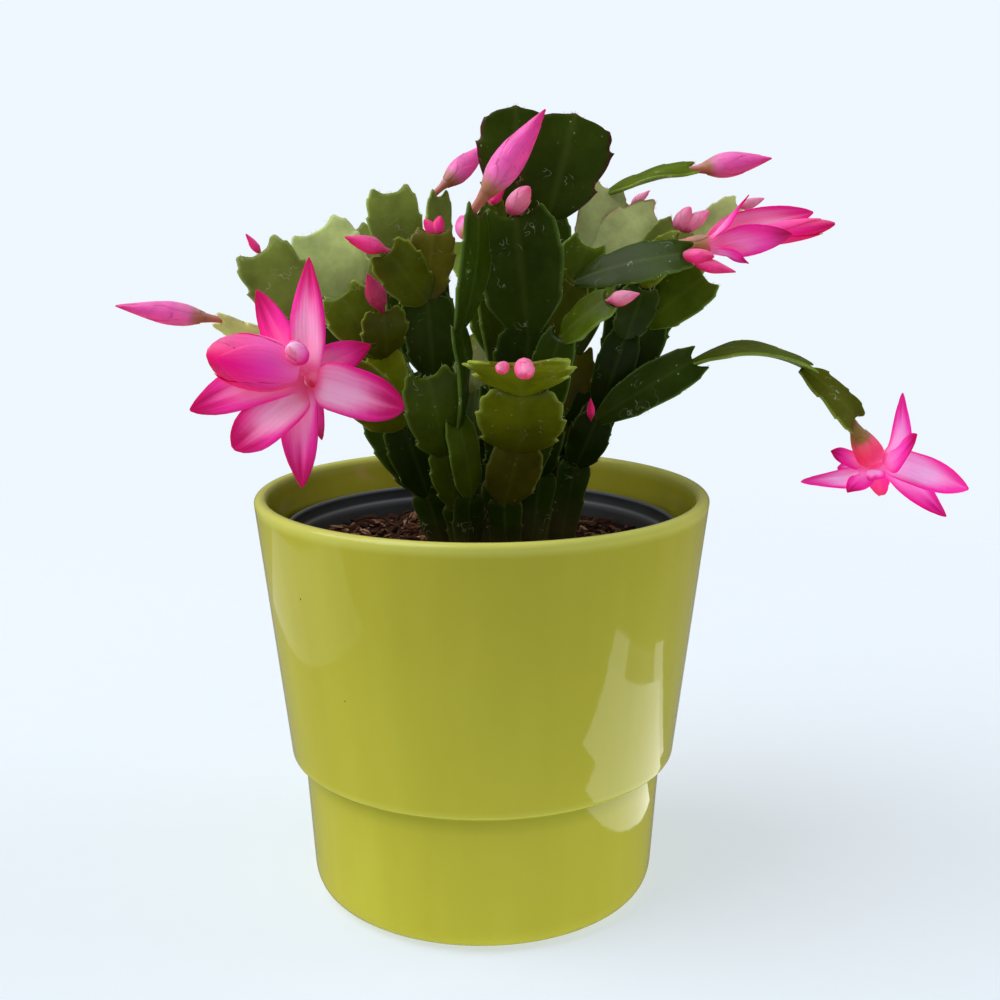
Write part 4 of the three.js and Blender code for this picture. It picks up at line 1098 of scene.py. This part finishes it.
def grow_bud(bunch, start, tip, radius, profile, scales, flush, swirl=0.0):
    """A spindle from start to tip under its scales: [from, to, spread, proud, how many]."""
    axis = unit(tip - start)
    first, second = cross_axes(axis)
    s = profile[:, 0]
    r = (radius - 0.35) * profile[:, 1][:, None] * (1 + 0.02 * np.sin(2 * CIRCLE + swirl))
    rings = (start + (tip - start) * s[:, None, None] + first * (r * np.cos(CIRCLE))[..., None]
             + second * (r * np.sin(CIRCLE))[..., None])
    up = first[2] * np.cos(CIRCLE) + second[2] * np.sin(CIRCLE)
    all_over = np.zeros((len(s), len(CIRCLE)))
    # The core too gets a painted highlight on top and painted shade underneath.
    colour = paint_light_above_shade_below(blend_of(flush, s)[:, None] + all_over[..., None], up + all_over)
    bunch.skin(rings, tone=colour, rim=0.0)
    turn = swirl
    for low, high, spread, proud, count in scales:
        for _ in range(count):
            wrap_scale(bunch, start, tip, profile, radius - 0.25, low, high, turn, spread, proud, flush)
            turn += SPIRAL_TURN


LONG_SCALES = [(0.5, 1.0, 1.15, 0.0, 3), (0.3, 0.88, 1.3, 0.05, 3), (0.24, 0.66, 0.9, 0.1, 2),
               (0.2, 0.44, 0.62, 0.14, 3)]
ROUND_SCALES = [(0.25, 0.98, 1.1, 0.0, 3), (0.12, 0.72, 0.95, 0.1, 3)]
print("scales on a long bud", sum(row[-1] for row in LONG_SCALES))

# %% [markdown]
# Bud skin is a petal seen from outside, tightly stretched: smooth, a little waxy, with an
# index a little above that of water, and with soft dents of a few millimetres. Some light
# soaks in and comes back redder, and a faint glow stands for the light that passes through
# from behind. The colour itself is written on the points, as each bud has its own flush.

# %% Stretched bud skin
THROUGH_BUD = 0.13  # the light that comes through, as a share of the skin's own colour
bud_skin, tree = finish_named("stretched_bud_skin")
place = add(tree, "TexCoord").outputs["Object"]
own = add(tree, "Attribute", attribute_name="tone")
blotch = add(tree, "TexNoise", {"Vector": place, "Scale": patches(3.846), "Detail": 4.0, "Roughness": 0.6})
shade = add(tree, "MapRange", {"Value": blotch, "From Min": 0.3, "From Max": 0.7, "To Min": 0.88,
                               "To Max": 1.12})
pink = add(tree, "VectorMath", {0: own, "Scale": shade}, operation="SCALE")
dent = add(tree, "Bump", {"Strength": 0.25, "Distance": 0.0004, "Height": blotch})
shader = add(tree, "BsdfPrincipled", {"Roughness": 0.38, "IOR": 1.42, "Specular IOR Level": 0.3,
                                      "Subsurface Weight": 0.3, "Subsurface Radius": (1.0, 0.35, 0.45),
                                      "Subsurface Scale": 0.0016, "Emission Strength": THROUGH_BUD,
                                      "Base Color": pink, "Emission Color": pink, "Normal": dent})
add(tree, "OutputMaterial", {"Surface": shader})
print(len(tree.nodes), "nodes in this finish")

# %% [markdown]
# Each bud has a row: the stem and the segment that it sits on, its flush, and its one or two
# bodies. A body is moved aside on the notch by some millimetres, and has a tip and a radius.
# Its start follows from the notch, so it always sits on its segment. The bud that has only
# just sprung is too small for a solid of its own, so it stands for no node.

# %% The table of buds
SEAT = 0.9  # millimetres past the notch at which a bud starts
ROOTED = 2.2  # millimetres by which its neck reaches back into the segment
BUDS = {
    "bud_far_left": ["stem_far_left", 5, "open_pink", [((0, 0, 0), (-115, -12, 198.8), 3.9)]],
    "bud_top_front": ["stem_front_left", 7, "open_pink", [((0.3, 0, 0.5), (18.8, -33, 257.5), 4.9)]],
    "bud_top_left": ["stem_top_left", 4, "open_pink", [((0.6, 0.4, 1.4), (2.3, 16, 249), 3.8)]],
    "bud_right_top": ["stem_right_back", 5, "open_pink", [((0, 0, 0), (94.5, 12, 244.4), 4.2)]],
    "bud_pair_right_back": ["stem_right_back", 9, "pale", [((-0.4, 0, 0.4), (67.6, 6, 229), 2.9),
                                                           ((1.6, 0, -0.2), (73.8, 7, 227.6), 2.6)]],
    "bud_pair_right": ["stem_right", 6, "hot", [((0, 0, 0), (70, -30, 215), 2.5),
                                                ((1.2, -1, -1.4), (76.5, -31, 210.3), 2.2)]],
    "bud_pair_left": ["stem_left", 11, "hot", [((-0.9, 0, 0.4), (-17.6, -14, 225.6), 1.8),
                                               ((0.9, 0, 0.4), (-12.6, -14, 226.6), 2)]],
    "bud_left_low": ["stem_left", 6, "deep", [((0, 0, 0), (-34.1, -32, 210), 3.3)]],
    "bud_left_high": ["stem_left", 12, "hot", [((0, 0, 0), (-41.3, -27, 220.6), 2.8)]],
    "bud_centre": ["stem_centre", 4, "pale", [((-0.4, -0.4, 1.6), (14.6, -23, 235.4), 3.45)]],
    "bud_centre_small": ["stem_centre", 7, "hot", [((0, 0, 0), (7.5, -8, 235.5), 1.9)]],
    "bud_front_a": ["stem_front", 4, "neon", [((1.6, 0, 0), (12, -78, 186), 3)]],
    "bud_front_b": ["stem_front", 4, "neon", [((-4, 0, 0), (4.6, -76, 186.6), 1.9)]],
    "bud_front_right": ["stem_front", 7, "pale", [((0, 0, 0), (47.5, -33, 204), 2.5)]],
    "bud_far_left_small": ["stem_far_left", 4, "hot", [((0, 0, 0), (-76, 5, 220.5), 1.5)]],
    "bud_back_right_small": ["stem_back_right", 4, "pale", [((0, 0, 0), (58, 37, 234), 1.7)]],
    "bud_right_edge": ["stem_right_back", 13, "pale", [((0, 0, 0), (95.5, 27, 231.5), 1.9)]],
    "bud_back_top": ["stem_back", 4, "hot", [((0, 0, 0), (15, 46, 257), 3.4)]],
    "bud_back": ["stem_back", 6, "open_pink", [((0, 0, 0), (-8, 98, 224), 4.2)]],
    "bud_back_left": ["stem_back_left", 6, "hot", [((0, 0, 0), (-66, 68, 208), 2.8)]],
    "bud_back_right": ["stem_back_right", 6, "open_pink", [((0, 0, 0), (62, 82, 219), 3.6)]],
    "bud_just_sprung": ["stem_arch", 2, "hot", [((-2.2, -1.6, 0), (35.2, -6, 168.4), 1.4)]],
}


def seat_on(stem, row, aside):
    """Where a bud starts on the end of a segment, moved aside by some millimetres."""
    axis, notch = notch_of[stem][row]
    return notch + axis * SEAT + np.array(aside, float)


for order, (name, (stem, row, flush, bodies)) in enumerate(BUDS.items()):
    bud = Bunch()
    for aside, tip, radius in bodies:
        start, tip = seat_on(stem, row, aside), np.array(tip, float)
        start = start - unit(tip - start) * ROOTED
        way = unit(tip - start)
        long = np.linalg.norm(tip - start) > 4.5 * radius
        grow_bud(bud, start, tip, radius, LONG_BUD if long else ROUND_BUD,
                 LONG_SCALES if long else ROUND_SCALES, FLUSHES[flush], swirl=1.3 * order)
        # The areole under the uppermost bud is the most felted one.
        for _ in range(16 if name == "bud_top_front" else 5 if long else 3):
            grow_bristle(start + way * ROOTED + rng.normal(0, 0.3 * radius, 3), way, 1.3)
    bud.make(name + "_wrapped", bud_skin, "bud_petal", *([name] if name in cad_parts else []))
bristles.make("areole_bristles", hair, "stem_flesh")

# %% [markdown]
# An open bloom is a tube from which petals peel back in tiers. A petal is thin as paper at
# its edge and firmer along its middle, with a fold down the centre, a blunt point and a lazy
# bend to one side. Its colour runs from clear pink at the root through near white to magenta
# along the rim and the tip, and some petals have hardly any white. The mesh is the same
# flattened ring as a stem segment, on a line that leaves along the tube and arches out.

# %% The lines of one petal
PETAL_COLUMNS = np.array([-1, -0.95, -0.82, -0.58, -0.3, -0.1, 0, 0.1, 0.3, 0.58, 0.82, 0.95, 1])
PETAL_RING, PETAL_FACE = there_and_back(PETAL_COLUMNS)
PETAL_THICK = np.interp(np.abs(PETAL_RING), [0, 0.58, 0.95, 1], [0.42, 0.3, 0.2, 0])
PETAL_ALONG = np.array([0, 0.06, 0.13, 0.2, 0.27, 0.34, 0.41, 0.48, 0.55, 0.62, 0.69, 0.76, 0.82,
                        0.875, 0.915, 0.945, 0.97, 0.988, 1])
PETAL_SHARE = np.interp(PETAL_ALONG, [0, 0.1, 0.2, 0.34, 0.48, 0.6, 0.7, 0.8, 0.88, 0.94, 0.975, 1],
                        [0.4, 0.52, 0.68, 0.88, 0.99, 1.0, 0.95, 0.82, 0.61, 0.38, 0.2, 0.04])
BLUNT_SHARE = np.interp(PETAL_ALONG, [0, 0.1, 0.2, 0.34, 0.48, 0.6, 0.7, 0.8, 0.88, 0.94, 0.975, 1],
                        [0.44, 0.56, 0.7, 0.88, 0.98, 1.0, 1.0, 0.95, 0.82, 0.6, 0.4, 0.12])
PETAL_ROOT = 1.5  # millimetres below the throat at which petals start
ROOT, HEART, FLAME, RIM_FLAME, TIP_FLAME = (np.array(linear(c)[:3]) for c in (
    "#f0669c", "#fcbadc", "#fc36aa", "#ee128c", "#be0058"))
print("a petal has", len(PETAL_ALONG), "rings of", len(PETAL_RING), "points")


# %% One petal
def grow_petal(bunch, bloom, throat, axis, tip, width, lift, turn, pale, sway, blunt, number):
    """One petal from the wall of the tube to its tip. Pale is how white its heart is."""
    outward = tip - throat
    outward = unit(outward - axis * outward.dot(axis))
    start = throat - axis * PETAL_ROOT + outward * bloom["mouth"]
    length = np.linalg.norm(tip - start)
    control = start + axis * lift * length
    chord = unit(tip - start)
    across = unit(np.cross(axis, chord))
    angle = math.radians(turn)
    across = across * math.cos(angle) + np.cross(chord, across) * math.sin(angle)
    s, t = PETAL_ALONG[:, None], PETAL_RING[None]
    way = heading(start, control, tip, s + 0 * t)
    out = unit(np.cross(across, way))
    half = (PETAL_SHARE * (1 - blunt) + BLUNT_SHARE * blunt)[:, None] * width / 2
    ruffled = step(s, 0.2, 0.6) * (1 - step(s, 0.9, 1))
    wave = 0.6 * np.sin(8 * s + 2.1 * number) * t ** 2 * np.sign(t) * ruffled
    fold = -0.3 * np.abs(t) ** 1.15 * half * (1 - 0.5 * step(s, 0.5, 1)) + 0.12 * half * t ** 6
    lifted = fold + wave + PETAL_FACE * PETAL_THICK * (1 - 0.5 * step(s, 0.85, 1))
    aside = t * half + sway * length * np.sin(np.pi * s)
    rings = bowed(start, control, tip, s + 0 * t) + across * aside[..., None] + out * lifted[..., None]

    streak = 0.05 * np.sin(9 * t + 2 * number) * np.sin(5 * s + number)
    white = step(s, 0.08, 0.36) * (0.35 + 0.65 * pale) * (1 - step(np.abs(t), 0.55 + 0.25 * pale, 1))
    white = white * (1 - step(s + 0.32 * t * t + streak, 0.45 + 0.3 * pale, 0.85 + 0.2 * pale))
    white = np.clip(white, 0, 1)[..., None]
    hot = np.clip(step(np.abs(t) + streak, 0.7, 1.02) * step(s, 0.15, 0.5) * 0.8, 0, 1)[..., None]
    end = min(1, bloom["tips"] * (1.5 - 1.4 * pale)) * step(s + streak, 0.72, 0.98)[..., None]
    root = (1 - step(s, 0.1, 0.42))[..., None]
    colour = FLAME * (1 - white) + HEART * white
    colour = colour * (1 - hot) + RIM_FLAME * hot
    colour = colour * (1 - end) + TIP_FLAME * end
    colour = colour * (1 - root) + ROOT * root
    # Painted shade: one half of some petals is darker, as if that side of the fold were turned from the
    # light.
    painted_fold_shade = 1 - 0.2 * step(t * math.sin(2.7 * number), 0.02, 0.2) * (1 - root[..., 0])
    colour = colour * painted_fold_shade[..., None] ** np.array([0.4, 1.8, 0.9]) * np.array(bloom["tint"])
    colour = np.clip(colour, 0, 1)
    bunch.skin(rings, tone=np.broadcast_to(colour, rings.shape), rim=np.abs(t) + 0 * s)


print("a petal is widest at", PETAL_ALONG[PETAL_SHARE.argmax()], "of its length")

# %% [markdown]
# A petal is a film of cells full of water. Its shine is that of satin, roughness about 0.5
# and index 1.4, and half of the light that falls on it spreads inside. A glow of its own
# colour stands for the light that comes through from behind, and each bloom has its own.
# Veins run along the petal and wander a little: a sine of the distance from the fold, bent by
# a noise. Real ones lie closer, and are drawn 0.5 to 1.6 mm apart so that they show.

# %% Thin satin petal
VEIN_TURNS = 30.0  # radians from the fold to the rim, nearly five veins
petal_finish, tree = finish_named("thin_satin_petal")
place = add(tree, "TexCoord").outputs["Object"]
own = add(tree, "Attribute", attribute_name="tone")
rim = add(tree, "Attribute", attribute_name="rim").outputs["Fac"]
through = add(tree, "Attribute", attribute_name="glow").outputs["Fac"]
lines = add(tree, "Math", {0: rim, 1: VEIN_TURNS}, operation="MULTIPLY")
blotch = add(tree, "TexNoise", {"Vector": place, "Scale": patches(5.555), "Detail": 4.0})
wander = add(tree, "Math", {0: blotch, 1: 6.0, 2: lines}, operation="MULTIPLY_ADD")
vein = add(tree, "Math", {0: wander}, operation="SINE")
shade = add(tree, "MapRange", {"Value": vein, "From Min": -1.0, "From Max": 1.0, "To Min": 0.96,
                               "To Max": 1.03})
pink = add(tree, "VectorMath", {0: own, "Scale": shade}, operation="SCALE")
ridge = add(tree, "Bump", {"Strength": 0.12, "Distance": 0.0003, "Height": vein})
dent = add(tree, "Bump", {"Strength": 0.25, "Distance": 0.0006, "Height": blotch, "Normal": ridge})
shader = add(tree, "BsdfPrincipled", {"Roughness": 0.5, "IOR": 1.4, "Specular IOR Level": 0.2,
                                      "Subsurface Weight": 0.5, "Subsurface Radius": (1.0, 0.35, 0.55),
                                      "Subsurface Scale": 0.001, "Base Color": pink,
                                      "Emission Color": pink, "Emission Strength": through,
                                      "Normal": dent})
add(tree, "OutputMaterial", {"Surface": shader})
print(len(tree.nodes), "nodes in this finish")

# %% [markdown]
# Under its petals a bloom is a tube that widens from the ovary. It and the petals that are
# still rolled together are spindles, grown like buds but with outlines of their own. A knob
# is such a roll seen from its tip. The table names where a bloom sits, the middle of its
# throat and the direction that it faces, and the radii of its tube and of its mouth, from
# which the petals start. The tube of a hollow bloom ends a little below its throat.
# Then come its petals one by one, because no two open alike. Each bloom stands in other
# light, so its petals have a tint, a glow, and a depth of colour at their tips.

# %% The table of blooms
TUBE = np.array([(0, 0.34), (0.12, 0.4), (0.25, 0.52), (0.4, 0.7), (0.55, 0.87), (0.7, 0.97), (0.8, 1.0),
                 (0.88, 0.97), (0.94, 0.84), (0.98, 0.55), (1.0, 0.15)])
TUBE_FLUSH = [(0, "#8a5a38"), (0.15, "#7c7038"), (0.38, "#94743c"), (0.47, "#f0607c"),
              (0.75, "#fa3c78"), (1, "#f0669c")]
YOUNG_FLUSH = [(0, "#c0685c"), (0.35, "#c47c5c"), (0.6, "#94743e"), (0.8, "#b0744c"), (1, "#e8608c")]
CLOSED = np.array([(0, 0.45), (0.12, 0.7), (0.25, 0.9), (0.4, 1), (0.58, 1), (0.74, 0.9), (0.86, 0.7),
                   (0.94, 0.47), (1, 0.12)])
CLOSED_FLUSH = [(0, "#ff6cb8"), (0.3, "#ff38b8"), (0.65, "#ff1094"), (1, "#d80060")]
# Magenta at the knob's base and near white at its tip, which faces the viewer: the pale tip is a painted
# highlight.
KNOB_FLUSH_WITH_HIGHLIGHT = [(0, "#c8006c"), (0.35, "#f41c9c"), (0.7, "#ff84d0"), (1, "#ffc8ea")]
CLOSED_SCALES = [(0.1, 1.0, 1.2, 0.0, 3), (0.0, 0.88, 1.0, 0.4, 3)]
# A petal has its tip, its width, how far it leaves along the tube, how many degrees it is
# turned, how white its heart is, how far it bends aside, and how blunt its end is.
BLOOMS = {
    "bloom_left": {
        "on": ("stem_left", 3, (-0.9, -1.2, 0.4)), "throat": (-51.5, -40.5, 179.2),
        "axis": (-0.35, -0.93, 0.1), "tube": 5.0, "mouth": 2.8, "tint": (1, 1, 1), "glow": 0.1,
        "tips": 2.0, "hollow": 0.6, "flush": TUBE_FLUSH,
        "petals": [(-51, -36, 215, 11.5, 0.22, 0, 0.6, -0.04, 0),
                   (-67.3, -33, 205.2, 12, 0.2, 0, 0.1, 0.02, 0.1),
                   (-33.3, -35, 189, 10.5, 0.2, 0, 0.2, 0.06, 0),
                   (-23.1, -45, 171.2, 15, 0.25, 0, 0.76, 0.03, 1),
                   (-54.4, -42, 146.8, 12.5, 0.2, 0, 0.4, -0.03, 0.2),
                   (-48.9, -34, 159.9, 7, 0.1, 0, 0.0, 0, 0),
                   (-74.6, -42, 158.7, 15, 0.25, 0, 0.74, 0.04, 1),
                   (-87.8, -38, 169.8, 13.5, 0.25, 0, 0.4, -0.08, 0.3)],
        "closed": [((-54, -44, 182), (-80.5, -46, 188.0), 8.2, CLOSED_FLUSH),
                   ((-52.2, -46, 185.8), (-55.4, -52, 190.6), 3.2, KNOB_FLUSH_WITH_HIGHLIGHT)]},
    "bloom_right": {
        "on": ("stem_arch", 5, (0.2, 0.9, -1.6)), "throat": (130, 0, 146),
        "axis": (0.38, 0.66, -0.65), "tube": 5, "mouth": 3.6, "tint": (1.06, 1.22, 1.36), "glow": 0.21,
        "tips": 0.8, "hollow": 0, "flush": TUBE_FLUSH,
        "petals": [(137.2, -4, 169.7, 7.5, 0.1, 0, 0.5, 0.24, 0.2),
                   (140.2, -12, 157.4, 10, 0.1, 0, 0, 0.14, 0.2),
                   (158.2, -12, 139.3, 12.5, 0.25, 0, 0.85, -0.12, 0.3),
                   (155.5, 0, 127.4, 10, 0.3, 0, 0.4, -0.1, 0.1),
                   (119, -11, 138.1, 7.5, 0.2, 0, 0, 0, 0),
                   (104.4, -8, 141, 8.5, 0.25, 0, 0.7, -0.05, 0.3),
                   (115.6, 0, 149.8, 7.5, 0.15, 0, 0, 0, 0), (128, -6, 141, 8.5, 0.1, 0, 0.5, 0, 1),
                   (140.5, 17, 139, 9, 0.4, 0, 0.5, 0, 0.5), (122.5, 17, 141, 9, 0.4, 0, 0.5, 0, 0.5)],
        "closed": [((130, 1, 146), (138, 15, 132), 3.4, CLOSED_FLUSH)]},
    "bloom_opening": {
        "on": ("stem_right_back", 10, (0.5, 0, 0.3)), "throat": (73, -9.5, 217.5),
        "axis": (0.97, -0.05, 0.2), "tube": 3.2, "mouth": 2.2, "tint": (1.02, 1.12, 1.12), "glow": 0.14,
        "tips": 1.1, "hollow": 0, "flush": YOUNG_FLUSH,
        "petals": [(83.1, -12, 232.9, 5.5, 0.1, 0, 0.2, 0, 0.3), (83.3, -15, 212, 5, 0.3, 0, 0, 0, 0),
                   (96.5, -14.5, 221, 10.5, 0.3, 0, 0.05, 0, 0),
                   (104.5, -7, 227.5, 9.8, 0.15, -39, 0.8, 0.05, 0.3),
                   (100.8, -3, 222, 8, 0.3, 0, 0.3, 0, 0), (84, 1, 220, 6, 0.3, 0, 0.2, 0, 0)],
        "closed": [((76, -9.5, 218), (110.8, -10, 224.1), 3.4, CLOSED_FLUSH)]},
}

# %% The blooms open
for name, bloom in BLOOMS.items():
    flower = Bunch()
    flower.glow = bloom["glow"]
    start = seat_on(*bloom["on"])
    throat, axis = np.array(bloom["throat"], float), unit(bloom["axis"])
    along = unit(throat - start)
    grow_bud(flower, start - along * ROOTED, throat - along * bloom["hollow"], bloom["tube"], TUBE,
             [(0.3, 0.85, 0.7, 0.1, 3)], bloom["flush"], swirl=0.7)
    for petal_number, (x, y, z, *form) in enumerate(bloom["petals"]):
        grow_petal(flower, bloom, throat, axis, np.array([x, y, z], float), *form, petal_number)
    for start, tip, radius, flush in bloom["closed"]:
        start, tip = np.array(start, float), np.array(tip, float)
        grow_bud(flower, start, tip, radius, CLOSED, CLOSED_SCALES, flush, swirl=2.0)
    flower.make(name + "_open", petal_finish, "bloom_petal", name)
